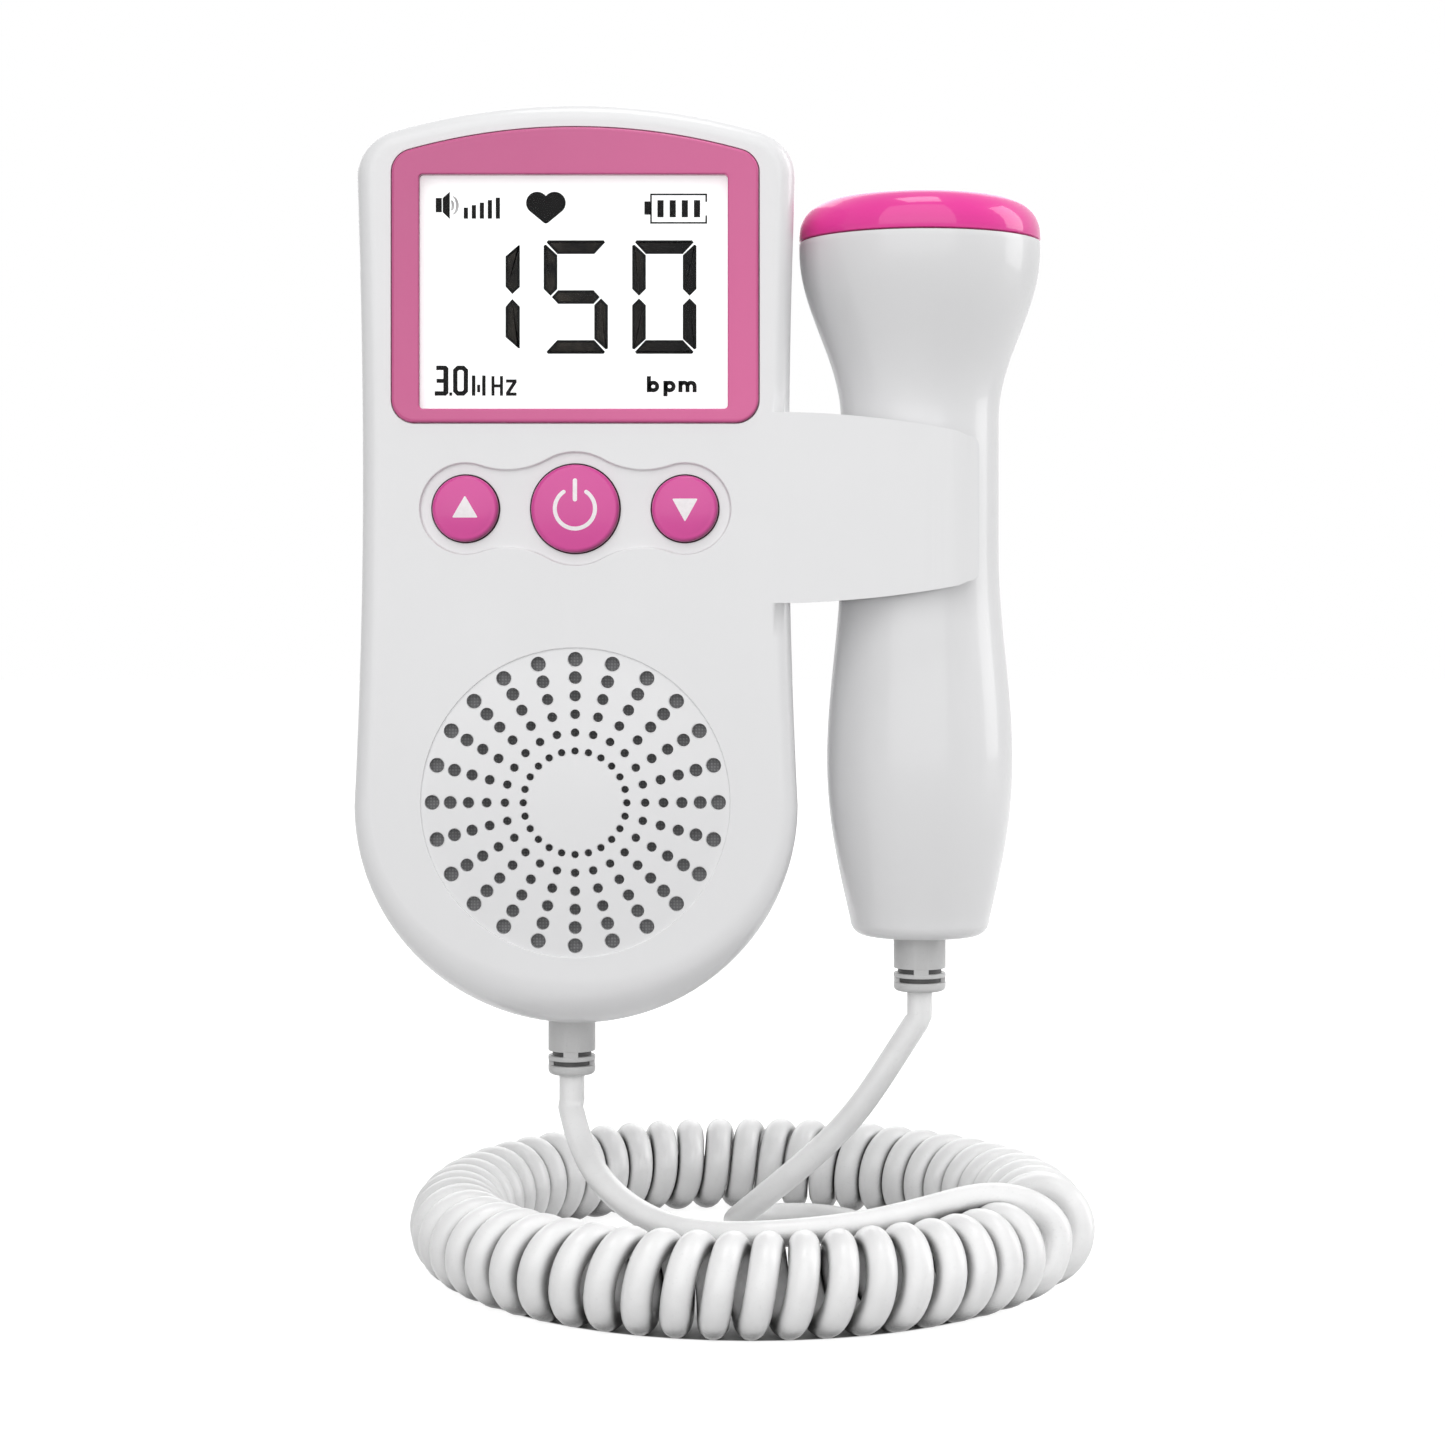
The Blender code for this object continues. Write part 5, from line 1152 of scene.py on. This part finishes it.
def make_front_cover():
    """Front shell with the display's pocket, the keys' recess, the grille and the front clip arm."""
    cover = case_half("front_shell", -1)
    cut(cover, case_hollow(-1))
    join(cover, clip_arm("front"))
    recess_floor = FRONT + RECESS_DEPTH
    fillet = [(recess_floor - RECESS_FILLET * (1 - math.sin(turn)), -RECESS_FILLET * (1 - math.cos(turn)))
              for turn in quarter(3)]
    cut(
        cover,
        slab("pocket", bezel_outline,
             [(y, BEZEL_GAP + grow) for y, grow in mouth(FRONT, POCKET_FLOOR, BEZEL_EASE)]),
        prism("view", view_outline(LENS_MARGIN + GAP), FRONT - OVERRUN, INNER_FRONT + OVERRUN),
        slab("recess", recess_outline,
             mouth(FRONT, recess_floor - RECESS_FILLET, POCKET_EASE)[:-1] + fillet),
    )
    for _, x, radius in KEYS:
        levels = mouth(recess_floor, INNER_FRONT + OVERRUN, KEY_HOLE_EASE)
        cut(cover, slab("key_hole", lambda grow: circle((x, BUTTON_ROW), radius + KEY_GAP + grow), levels))
    cut(cover, slab("dish", lambda grow: circle((0, GRILLE_CENTRE), DISH_RADIUS + grow),
                    mouth(FRONT, INNER_FRONT + OVERRUN, HOLE_EASE)))
    grille = dome_shell()
    cut(grille, grille_cutter())
    join(cover, grille)
    cut(cover, boot_hole())
    return dome_shaded(steadied(cover))


OUTLINE = case_outline()
SEAM_EASE = 0.00018
POCKET_EASE = 0.00022
BEZEL_GAP = 0.00012
BEZEL_EASE = 0.0001
KEY_GAP = 0.0002
KEY_HOLE_EASE = 0.00008
HOLE_EASE = 0.00014
DOME_STEPS = 12
GRILLE_LAP = 0.0006
FACET_SLACK = 0.0002
DOME_FACING = -0.97
RECESS_FILLET = 0.0003
CLIP_STEPS = 14
CLIP_EDGE_SHARE = 0.9
CLIP_INSIDE_ROUND = 0.16
CLIP_TIP_ROUND = 0.3
KEYS = (
    ("up", -BUTTON_SPACING, SIDE_BUTTON), ("power", 0.0, POWER_BUTTON), ("down", BUTTON_SPACING, SIDE_BUTTON),
)

piece(make_front_cover(), "case", "white_plastic", "front_cover")


# Back

def door_outline(grow):
    return rounded_box(DOOR_HALF_WIDTH + grow, DOOR_BOTTOM - grow, DOOR_TOP + grow, DOOR_CORNER + grow, 10)


def make_rear_cover():
    """Rear shell with the flat back, the sunk screw posts, the battery bay and the rear clip arm."""
    cover = case_half("rear_shell", 1)
    cut(cover, case_hollow(1))
    join(cover, clip_arm("rear"))
    root = -WALL / 2
    sink = SCREW_HEAD_RADIUS + GAP
    for place in SCREW_PLACES:
        join(cover, prism("post", circle(place, sink + SINK_WALL, 40), PARTING + GAP / 2, root))
        cut(
            cover,
            slab("sink", lambda grow: circle(place, sink + grow, 40), mouth(0.0, -SCREW_SINK, POCKET_EASE)),
            prism("bore", circle(place, SCREW_RADIUS + GAP, 24), PARTING - OVERRUN, root),
        )
    wall = GAP + BAY_WALL
    low = (-BAY_HALF_WIDTH - BAY_WALL, BAY_FRONT - BAY_WALL, BAY_BOTTOM - BAY_WALL)
    join(
        cover,
        prism("pan", door_outline(wall), -DOOR_THICKNESS - wall, root),
        block("tub", low, (BAY_HALF_WIDTH + BAY_WALL, root, BAY_CEILING + BAY_WALL)),
    )
    cut(
        cover,
        slab("seat", lambda grow: door_outline(GAP + grow), mouth(0.0, -DOOR_THICKNESS - GAP, POCKET_EASE)),
        prism("bay", rounded_box(BAY_HALF_WIDTH, BAY_BOTTOM, BAY_CEILING, BAY_CORNER), BAY_FRONT, OVERRUN),
        boot_hole(),
    )
    return cover


def make_door():
    """Battery door: round edges, a latch at its top and five grip grooves."""
    edge = [(-depth, -inset) for depth, inset in reversed(rounding(DOOR_EDGE, 4))]
    door = slab("door_skin", door_outline, [(-DOOR_THICKNESS, 0.0), *edge])
    top = BAY_CEILING - GAP
    low = (-LATCH_WIDTH / 2, -DOOR_THICKNESS - LATCH_DEPTH, top - LATCH_THICKNESS)
    join(door, bevelled(block("latch", low, (LATCH_WIDTH / 2, -DOOR_THICKNESS / 2, top)), LATCH_EASE))
    for groove in range(GRIP_GROOVES):
        top = DOOR_TOP - DOOR_CORNER - GRIP_PITCH * groove
        cut(door, slab("groove", lambda grow: rounded_box(
            GRIP_LENGTH / 2 + grow, top - GRIP_WIDTH - grow, top + grow, GRIP_WIDTH / 2.1 + grow, 6
        ), mouth(0.0, -GRIP_DEPTH, GROOVE_EASE)))
    return door


def make_screw(x, z):
    """A screw with a domed, slotted head."""
    profile = [
        (SCREW_HEAD_RADIUS * math.sin(turn), SCREW_HEAD_HEIGHT - SCREW_CROWN * (1 - math.cos(turn)))
        for turn in quarter(8)
    ]
    profile += [(SCREW_HEAD_RADIUS, GAP), (SCREW_RADIUS, GAP), (SCREW_RADIUS, -SCREW_LENGTH),
                (0, -SCREW_LENGTH)]
    screw = turned("screw", profile, (x, -SCREW_SINK, z), SCREW_STEEL, along="Y", steps=40)
    half = SCREW_SLOT_WIDTH / 2
    low = (x - SCREW_HEAD_RADIUS, -SCREW_SINK + SCREW_HEAD_HEIGHT - SCREW_SLOT_DEPTH, z - half)
    cut(screw, block("slot", low, (x + SCREW_HEAD_RADIUS, OVERRUN, z + half)))
    return screw


def make_cell(name, x, flip):
    """A cylindrical cell with a shrunk sleeve's rounded rims and its steel nub."""
    base, ease, nub = CELL_LENGTH - CELL_NUB_LENGTH, CELL_EASE, CELL_NUB_RADIUS
    rim = ((CELL_RADIUS - ease, 0), (CELL_RADIUS - ease * 0.3, ease * 0.3), (CELL_RADIUS, ease))
    profile = [(0, 0), *rim, *[(radius, base - level) for radius, level in reversed(rim)]]
    profile += [(nub + ease, base - ease / 2), (nub, base), (nub, CELL_LENGTH - ease / 2),
                (nub - ease / 2, CELL_LENGTH), (0, CELL_LENGTH)]
    if flip:
        profile = [(radius, CELL_LENGTH - level) for radius, level in reversed(profile)]
    return turned(name, profile, (x, CELL_DEPTH, CELL_BOTTOM), SLEEVE, steps=64)


SCREW_PLACES = [(x, FLOOR + height) for height in SCREW_HEIGHTS for x in (-SCREW_SPREAD, SCREW_SPREAD)]
DOOR_EDGE = 0.00035
LATCH_EASE = 0.0002
GROOVE_EASE = 0.0002
SCREW_CROWN = 0.0006
CELL_EASE = 0.0004
BAY_CORNER = 0.0008

piece(steadied(make_rear_cover()), "case", "white_plastic", "rear_cover")
piece(steadied(make_door()), "door", "white_plastic", "battery_door")
for number, (x, z) in enumerate(SCREW_PLACES, 1):
    piece(make_screw(x, z), "case", "steel", f"case_screw_{number}")
for side, x in (("left", -CELL_SPACING / 2), ("right", CELL_SPACING / 2)):
    piece(make_cell("cell_" + side, x, side == "right"), "case", "battery_sleeve", "battery_" + side)


# Display

def make_bezel():
    """The bezel: round outer edge, and an eased opening down to the lens."""
    edge = [(BEZEL_FRONT + depth, -inset) for depth, inset in reversed(rounding(BEZEL_EDGE, 6))]
    bezel = slab("bezel", bezel_outline, [(BEZEL_BACK, 0.0), *edge], BEZEL_PINK)
    cut(bezel, slab("view", view_outline, mouth(BEZEL_FRONT, BEZEL_BACK + OVERRUN, VIEW_EASE)))
    return bezel


def make_lens():
    """The lens, its front edge eased."""
    levels = [(POCKET_FLOOR + LENS_THICKNESS, LENS_MARGIN), (POCKET_FLOOR + LENS_EASE, LENS_MARGIN)]
    return slab("lens", view_outline, [*levels, (POCKET_FLOOR, LENS_MARGIN - LENS_EASE)], LENS)


def shown(points):
    """Places on the display's face from places on the drawing, in the drawing's units."""
    return [(DRAWING_LEFT + x * DRAWING_UNIT, DRAWING_TOP - y * DRAWING_UNIT) for x, y in points]


def inked(outline, finish=INK, sheen=False):
    """A thin segment on the display's face, from an outline in the drawing's units.

    A sheen gives its middle the painted sheen: a painted reflection, lighter than the ink.
    """
    made = prism("segment", shown(outline), PANEL_FRONT - INK_THICKNESS, PANEL_FRONT, finish)
    if sheen:
        build = bmesh.new()
        build.from_mesh(made.data)
        front = min(build.faces, key=lambda face: face.calc_center_median().y)
        inset = SHEEN_INSET * DRAWING_UNIT
        bmesh.ops.inset_region(build, faces=[front], thickness=inset, use_even_offset=True)
        front.material_index = 1
        build.to_mesh(made.data)
        build.free()
        made.data.materials.append(PAINTED_SHEEN_INK)
    piece(made, "case", "black_plastic")


def bar(left, top, right, bottom):
    inked([(left, top), (right, top), (right, bottom), (left, bottom)])


def digit(left, which):
    """A numeral of seven segments, by their letters: a at the top, then clockwise, and g across."""
    right, low = left + DIGIT_WIDTH, DIGIT_TOP + DIGIT_HEIGHT
    middle, half = DIGIT_TOP + DIGIT_HEIGHT / 2, SEGMENT / 2
    for letter in which:
        if letter == "g":
            start, end, bevel = left + half + SLIT, right - half - SLIT, half * 0.92
            points = [(start, middle), (start + bevel, middle - half), (end - bevel, middle - half),
                      (end, middle), (end - bevel, middle + half), (start + bevel, middle + half)]
        elif letter in "ad":
            inset, top = SLIT + 3, DIGIT_TOP
            points = [(left + inset, top), (right - inset, top), (right - inset + 1.5, top + 2),
                      (right - SEGMENT, top + SEGMENT), (left + SEGMENT, top + SEGMENT),
                      (left + inset - 1.5, top + 2)]
        else:
            outer, inner = (left, left + SEGMENT) if letter in "ef" else (right, right - SEGMENT)
            end = middle - half - SLIT
            top, cut_corner = DIGIT_TOP + SLIT, outer + (inner - outer) * 0.16
            points = [(outer, top + 4), (cut_corner, top + 3), (inner, top + SEGMENT), (inner, end),
                      ((outer + inner) / 2, middle - SLIT), (outer, end)]
        if letter in "cde":
            points = [(x, DIGIT_TOP + low - y) for x, y in points]
        inked(points, sheen=True)


def stroke(points, width, closed=False):
    """A pen line of even width through the points, with square ends and mitred corners."""
    spots = [Vector(point) for point in points]
    sides = ([], [])
    for i, here in enumerate(spots):
        after = (i + 1) % len(spots)
        out = spots[after] - here if closed or after else here - spots[i - 1]
        into = here - spots[i - 1] if closed or i else out
        first, last = into.normalized().orthogonal(), out.normalized().orthogonal()
        mitre = (first + last) / max(0.4, (1 + first.dot(last))) * width / 2
        for side, spot in zip(sides, (here + mitre, here - mitre)):
            side.append((spot.x, spot.y))
    left, right = sides
    if not closed:
        inked(left + right[::-1])
        return
    build = bmesh.new()
    back, front = PANEL_FRONT, PANEL_FRONT - INK_THICKNESS
    edges = ((back, left), (back, right), (front, right), (front, left))
    bridge(build, [[(x, level, z) for x, z in shown(side)] for level, side in edges], closed=True)
    piece(finish_mesh("outline", build, INK), "case", "black_plastic")


def oval(x, y, half_width, half_height, steps, first=0.0, last=math.tau):
    """Points of an ellipse in the drawing's units."""
    turns = [first + (last - first) * step / steps for step in range(steps + 1)]
    return [(x + half_width * math.cos(turn), y - half_height * math.sin(turn)) for turn in turns]


def draw_icons():
    """The row of symbols: loudspeaker, level bars, heart and battery."""
    bar(16, 22.6, 22, 36.8)
    inked([(23, 22.6), (30, 16.4), (30, 43.5), (23, 36.8)])
    for away, reach, half in ((31.0, 3.6, 5.6), (31.6, 7.4, 9.8)):
        outer = oval(away, 30, reach, half, 12, -1.25, 1.25)
        inner = oval(away - 0.4, 30, reach - 2.4, half - 0.6, 12, 1.2, -1.2)
        inked(outer + inner, INK_FAINT)
    for number, left in enumerate((44, 52, 60, 68, 76)):
        bar(left, 32.2 - 2.5 * number, left + 4.2, 43.2)
    half = oval(8.7, 11.1, 11.1, 11.1, 22, math.radians(141.6), math.radians(-50.4))
    half += oval(0, 28, 3.6, 3.6, 5, math.radians(-50.4), math.radians(-90))
    heart = half + [(-x, y) for x, y in reversed(half[1:-1])]
    inked([(126.1 + x, 16.4 + y) for x, y in heart])
    bar(224.6, 26, 231.2, 39.2)
    stroke([(286.4, 26.4), (286.4, 19), (231.2, 19), (231.2, 47.4), (286.4, 47.4), (286.4, 40)], 1.6)
    for left in (237.6, 249.8, 261.9, 274.1):
        bar(left, 24.8, left + 6.2, 41.8)


def draw_rate():
    """The heart rate in large segments."""
    for half in (
        [(85.8, 80.9), (85.8, 111), (92.5, 118.6), (100, 111.6), (100, 69.9), (98.6, 69.9)],
        [(85.8, 131.4), (92.5, 123.6), (100, 131.2), (100, 172.8), (98.6, 172.8), (85.8, 161.6)],
    ):
        inked(half, sheen=True)
    digit(123.9, "afgcd")
    digit(212.4, "abcdef")


def draw_frequency():
    """The probe's frequency."""
    small, top, low = 4.4, 190.2, 220.2
    inked([(16.5, top), (26.2, top), (28.6, top + 2.4), (28.6, low - 2.4), (26.2, low), (14.9, low),
           (14.9, low - small), (23.6, low - small), (23.6, 207.4), (16.8, 207.4), (16.8, 203.4),
           (23.6, 203.4), (23.6, top + small), (16.5, top + small)])
    bar(29.6, low - 3.2, 32.4, low)
    stroke([(38.2, top + 2.2), (43.4, top + 2.2), (46.1, top + 4.9), (46.1, low - 4.9), (43.4, low - 2.2),
            (38.2, low - 2.2), (35.5, low - 4.9), (35.5, top + 4.9)], small, closed=True)
    for edges in ((52.1, 200.0, 55.6, low), (57.4, 209.2, 60.4, 216.8), (62.4, 200.0, 65.8, low),
                  (71.7, 200.6, 74.7, low), (80.2, 200.6, 83.2, low), (74.7, 208.9, 80.2, 211.9),
                  (86.2, 204.0, 96.8, 207.1), (86.2, 217.1, 96.8, low)):
        bar(*edges)
    inked([(92.77, 207.1), (96.8, 207.1), (90.23, 217.1), (86.2, 217.1)])


def draw_unit():
    """The rate's unit: three letters, each of a stem and its round strokes."""
    for stem, middle in (((227.0, 200.7, 231.1, 216.7), 233.4), ((243.6, 205.3, 247.7, 220.8), 249.8)):
        bar(*stem)
        stroke(oval(middle, 211.0, 4.0, 3.8, 24)[:-1], 4.0, closed=True)
    bar(258.6, 205.3, 262.6, 216.7)
    for left in (260.6, 267.7):
        stroke(oval(left + 3.55, 210.6, 3.55, 3.4, 10, math.pi, 0.0) + [(left + 7.1, 216.7)], 4.0)


BEZEL_EDGE = 0.0006
VIEW_EASE = 0.0003
LENS_EASE = 0.0002
INK_THICKNESS = 0.00006
DRAWING_UNIT = 0.0001604
DRAWING_LEFT = -0.02505
DRAWING_TOP = VIEW_TOP + 0.00023
DIGIT_WIDTH = 64.2
DIGIT_HEIGHT = 113.4
DIGIT_TOP = 64.9
SEGMENT = 13.6
SLIT = 1.3
SHEEN_INSET = 2.6

piece(steadied(make_bezel()), "case", "pink_plastic", "display_bezel")
piece(make_lens(), "case", "clear_lens", "display_window")
draw_icons()
draw_rate()
draw_frequency()
draw_unit()


# Buttons

def key_face(radius, proud=0.0):
    """The key's domed front up to its round rim, as (radius, Y) points, a little more proud if told."""
    flat = radius - KEY_EDGE
    return [(flat * step / 12, FRONT - BUTTON_PROUD - BUTTON_DOME * (1 - (step / 12) ** 2) - proud)
            for step in range(13)]


def make_key(x, radius):
    """A key: a low dome with a round rim, its flange and its stem."""
    rim = FRONT - BUTTON_PROUD
    profile = key_face(radius)
    for turn in quarter(8, 1):
        profile.append((radius - KEY_EDGE * (1 - math.sin(turn)), rim + KEY_EDGE * (1 - math.cos(turn))))
    flange = INNER_FRONT + GAP
    back = flange + FLANGE_THICKNESS
    profile += [(radius, flange), (radius + FLANGE_WIDTH, flange), (radius + FLANGE_WIDTH, back),
                (STEM_RADIUS, back), (STEM_RADIUS, STEM_END), (0, STEM_END)]
    made = turned("key", profile, (x, 0, BUTTON_ROW), BUTTON_PINK, along="Y")
    # The side walls behind the rim take the dark magenta of painted shade.
    made.data.materials.append(KEY_WALL_SHADE)
    for face in made.data.polygons:
        face.material_index = 1 if face.center.y > rim + KEY_EDGE else 0
    return made


def printed(x, radius, outline, body):
    """A symbol on a key, that follows its dome a hair's breadth proud of it."""
    points = [(x + aside, BUTTON_ROW + up) for aside, up in outline]
    mark = prism("mark", points, FRONT - OVERRUN, FRONT - BUTTON_PROUD + PRINT_SINK, PRINT)
    skin = [*key_face(radius, PRINT_PROUD), (radius - KEY_EDGE, FRONT), (0, FRONT)]
    boolean(mark, turned("skin", skin, (x, 0, BUTTON_ROW), along="Y"), "INTERSECT")
    piece(mark, body, "white_plastic")


def arrow(*points):
    """The triangle with its corners rounded, as points."""
    made = []
    for i, point in enumerate(points):
        here = Vector(point)
        before = (Vector(points[i - 1]) - here).normalized()
        after = (Vector(points[(i + 1) % len(points)]) - here).normalized()
        half = before.angle(after) / 2
        centre = here + (before + after).normalized() * (ARROW_CORNER / math.sin(half))
        start, end = (here + side * (ARROW_CORNER / math.tan(half)) - centre for side in (before, after))
        for step in range(6):
            spot = (start * (1 - step / 5) + end * (step / 5)).normalized() * ARROW_CORNER
            made.append(tuple(centre + spot))
    return made


def power_symbol():
    """A ring open at the top, its ends round, and a bar with round ends in the opening."""
    half = (RING_OUTER - RING_INNER) / 2
    middle = RING_INNER + half
    first, last = math.pi / 2 + RING_GAP, math.pi / 2 - RING_GAP + math.tau
    ring = []
    for radius, start, end in ((RING_OUTER, first, last), (RING_INNER, last, first)):
        ring += arc((0, 0), radius, start, end, 56)
        turn = end if end == last else end + math.pi
        ring += arc((middle * math.cos(end), middle * math.sin(end)), half, turn, turn + math.pi, 8)[1:-1]
    return [bare(ring), rounded_box(BAR_WIDTH / 2, BAR_LOW, BAR_HIGH, BAR_WIDTH / 2.1, 6)]


KEY_EDGE = 0.0008
STEM_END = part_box("button_power")[1][1]
PRINT_PROUD = 0.00003
PRINT_SINK = 0.0002
RING_OUTER = 0.00352
RING_INNER = 0.00288
RING_GAP = math.radians(34)
BAR_WIDTH = 0.00069
BAR_LOW = 0.00112
BAR_HIGH = 0.0048
ARROW_CORNER = 0.00012
SYMBOLS = {
    "up": [arrow((-0.00205, -0.00144), (0.00205, -0.00144), (0.0, 0.00208))],
    "down": [arrow((0.00205, 0.00157), (-0.00205, 0.00157), (0.0, -0.00213))],
    "power": power_symbol(),
}

for key, x, radius in KEYS:
    piece(make_key(x, radius), key + "_key", "bright_pink_plastic", "button_" + key)
    for symbol in SYMBOLS[key]:
        printed(x, radius, symbol, key + "_key")


# Probe and strain reliefs

def eased(low, high, share):
    """From low to high with a level start and a level end."""
    return low + (high - low) * (1 - math.cos(math.pi * share)) / 2


def probe_outer():
    """The probe's side from its tail to the cap's edge, as (radius, height) points."""
    tail, grip, neck_low, neck_high, head = (
        PROBE_BOTTOM + SHELL_LENGTH * share
        for share in (TAIL_SHARE, GRIP_SHARE, NECK_LOW_SHARE, NECK_HIGH_SHARE, HEAD_SHARE)
    )
    points = []
    for turn in quarter(8):
        radius = TAIL_RADIUS + (TAIL_SIDE_RADIUS - TAIL_RADIUS) * math.sin(turn)
        points.append((radius, PROBE_BOTTOM + (tail - PROBE_BOTTOM) * (1 - math.cos(turn))))
    for step in range(1, 17):
        share = step / 16
        radius = TAIL_SIDE_RADIUS + (GRIP_RADIUS - TAIL_SIDE_RADIUS) * math.sin(math.pi / 2 * share)
        points.append((radius, tail + (grip - tail) * share))
    for low, high, start, end, first, steps in (
        (GRIP_RADIUS, NECK_RADIUS, grip, neck_low, 1, 20),
        (NECK_RADIUS, HEAD_RADIUS, neck_high, head, 0, 24),
    ):
        for step in range(first, steps + 1):
            share = step / steps
            points.append((eased(low, high, share), start + (end - start) * share))
    return points


def make_probe_half(half):
    """One half of the probe's shell, its outer seam edges and its shelf under the cap eased."""
    outer = probe_outer()
    spigot = HEAD_RADIUS - CAP_WALL - GAP
    shelf = CAP_EDGE - GAP
    hole = BOOT_NECK_RADIUS + GAP
    floor = PROBE_BOTTOM + SHELL_WALL
    points = [
        (hole, PROBE_BOTTOM), *outer,
        (HEAD_RADIUS, shelf), (spigot, shelf), (spigot, CAP_SIDE), (spigot - SHELL_WALL, CAP_SIDE),
        *[(radius - SHELL_WALL, height) for radius, height in reversed(outer[12::4])],
        (TAIL_RADIUS, floor + SHELL_WALL), (TAIL_RADIUS - SHELL_WALL, floor), (hole, floor),
    ]
    shift = -GAP / 2 if half == "front" else GAP / 2
    made = turned("half_" + half, points, (PROBE_X, PARTING + shift, 0), PROBE_WHITE, steps=72, half=half)
    return bevelled(made, SEAM_EASE, math.radians(55), 2)


def make_cap():
    """The probe's cap: a low dome, a wide round edge and an eased lower edge."""
    flat = HEAD_RADIUS - CAP_ROUND
    inner = HEAD_RADIUS - CAP_WALL
    ceiling = PROBE_TOP - CAP_DOME - CAP_WALL
    inside = (CAP_ROUND - CAP_WALL) * math.sqrt(0.5)
    points = [(flat * step / 6, PROBE_TOP - CAP_DOME * (step / 6) ** 2) for step in range(7)]
    points += [(flat + CAP_ROUND * math.sin(turn), CAP_SIDE + CAP_ROUND * math.cos(turn))
               for turn in quarter(14, 1)]
    points += [
        (HEAD_RADIUS, CAP_EDGE + CAP_EASE), (HEAD_RADIUS - CAP_EASE / 3, CAP_EDGE + CAP_EASE / 3),
        (HEAD_RADIUS - CAP_EASE, CAP_EDGE), (inner, CAP_EDGE), (inner, CAP_SIDE),
        (flat + inside, CAP_SIDE + inside), (flat, ceiling), (0, ceiling),
    ]
    return turned("cap", points, (PROBE_X, PARTING, 0), CAP_PINK, steps=128)


def boot_corner(radius, level, side):
    """A round corner from the level's flat to the sleeve's side, above (1) or below (-1) it."""
    return [(radius - BOOT_EASE * (1 - math.sin(turn)), level + side * BOOT_EASE * (1 - math.cos(turn)))
            for turn in quarter(3)]


def make_boot(x, top, radius, length, wall):
    """A strain relief: a sleeve with two rings of slots, bridges between them, and a round lip."""
    inside = top + wall + GAP
    sleeve = top - GAP
    end = sleeve - length
    core = radius - BOOT_SLOT_DEPTH
    slots = (end + length / 3, end + length / 6)
    points = [(0, inside + BOOT_FLANGE_THICKNESS), (BOOT_FLANGE_RADIUS, inside + BOOT_FLANGE_THICKNESS),
              (BOOT_FLANGE_RADIUS, inside), (BOOT_NECK_RADIUS, inside), (BOOT_NECK_RADIUS, sleeve)]
    points += boot_corner(radius, sleeve, -1)
    for level in slots:
        points += reversed(boot_corner(radius, level + BOOT_SLOT, 1))
        points += [(core, level + BOOT_SLOT), (core, level), *boot_corner(radius, level, -1)]
    points += [(radius - BOOT_LIP + BOOT_LIP * math.cos(turn), end + BOOT_LIP - BOOT_LIP * math.sin(turn))
               for turn in quarter(8)]
    points += [(CORD_RADIUS + 2 * BOOT_PLAY, end), (CORD_RADIUS + BOOT_PLAY, end + BOOT_MOUTH),
               (0, end + BOOT_MOUTH)]
    boot = turned("boot", points, (x, PARTING, 0), BOOT_GREY, steps=72)
    half = BOOT_BRIDGE / 2
    reach = radius - BOOT_EASE
    for level, aside, ahead in zip(slots, (half, reach), (reach, half)):
        low = (x - aside, PARTING - ahead, level - BOOT_EASE)
        join(boot, block("bridge", low, (x + aside, PARTING + ahead, level + BOOT_SLOT + BOOT_EASE)))
    # The faces deep in the slots take the dark grey of painted shade.
    boot.data.materials.append(BOOT_SLOT_SHADE)
    for face in boot.data.polygons:
        away = math.hypot(face.center.x - x, face.center.y - PARTING)
        if away < core + BOOT_EASE and end + BOOT_LIP < face.center.z < slots[0] + 2 * BOOT_SLOT:
            face.material_index = 1
    return boot


CAP_SIDE = PROBE_TOP - CAP_DOME - CAP_ROUND
CAP_EASE = 0.0002
BOOT_FLANGE_RADIUS = 0.0046
BOOT_FLANGE_THICKNESS = 0.0014
BOOT_SLOT = 0.0008
BOOT_SLOT_DEPTH = 0.0007
BOOT_EASE = 0.00012
BOOT_LIP = 0.0008
BOOT_BRIDGE = 0.0024
BOOT_PLAY = 0.0001
BOOT_MOUTH = 0.0004

for half in ("front", "rear"):
    piece(make_probe_half(half), "probe", "white_plastic", f"probe_{half}_shell")
piece(make_cap(), "probe", "bright_pink_plastic", "probe_cap")
unit_boot = make_boot(BOOT_X, FLOOR, BOOT_RADIUS, BOOT_LENGTH, WALL)
piece(unit_boot, "case", "grey_rubber", "unit_strain_relief")
probe_boot = make_boot(PROBE_X, PROBE_BOTTOM, PROBE_BOOT_RADIUS, PROBE_BOOT_LENGTH, SHELL_WALL)
piece(probe_boot, "probe", "grey_rubber", "probe_strain_relief")


# Solids that keep their own mesh

FINISHES = (
    (STEEL, ("speaker_frame", "contact_plus", "contact_minus", "contact_bridge",
             "plunger_up", "plunger_power", "plunger_down")),
    (DARK, ("speaker_magnet", "main_chip", "switch_up", "switch_power", "switch_down")),
    (PALE, ("backlight", "probe_socket")),
    (CERAMIC, ("transducer_sender", "transducer_receiver")),
    (BOARD, ("main_board", "probe_board")),
    (GRILLE_CLOTH, ("speaker_cloth",)),
    (PAPER, ("speaker_cone",)),
    (FACE, ("lcd_panel",)),
    (GREY, ("lcd_holder",)),
    (BACKING, ("transducer_backing",)),
)
for finish, names in FINISHES:
    for name in names:
        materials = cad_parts[name].data.materials
        materials.clear()
        materials.append(finish)
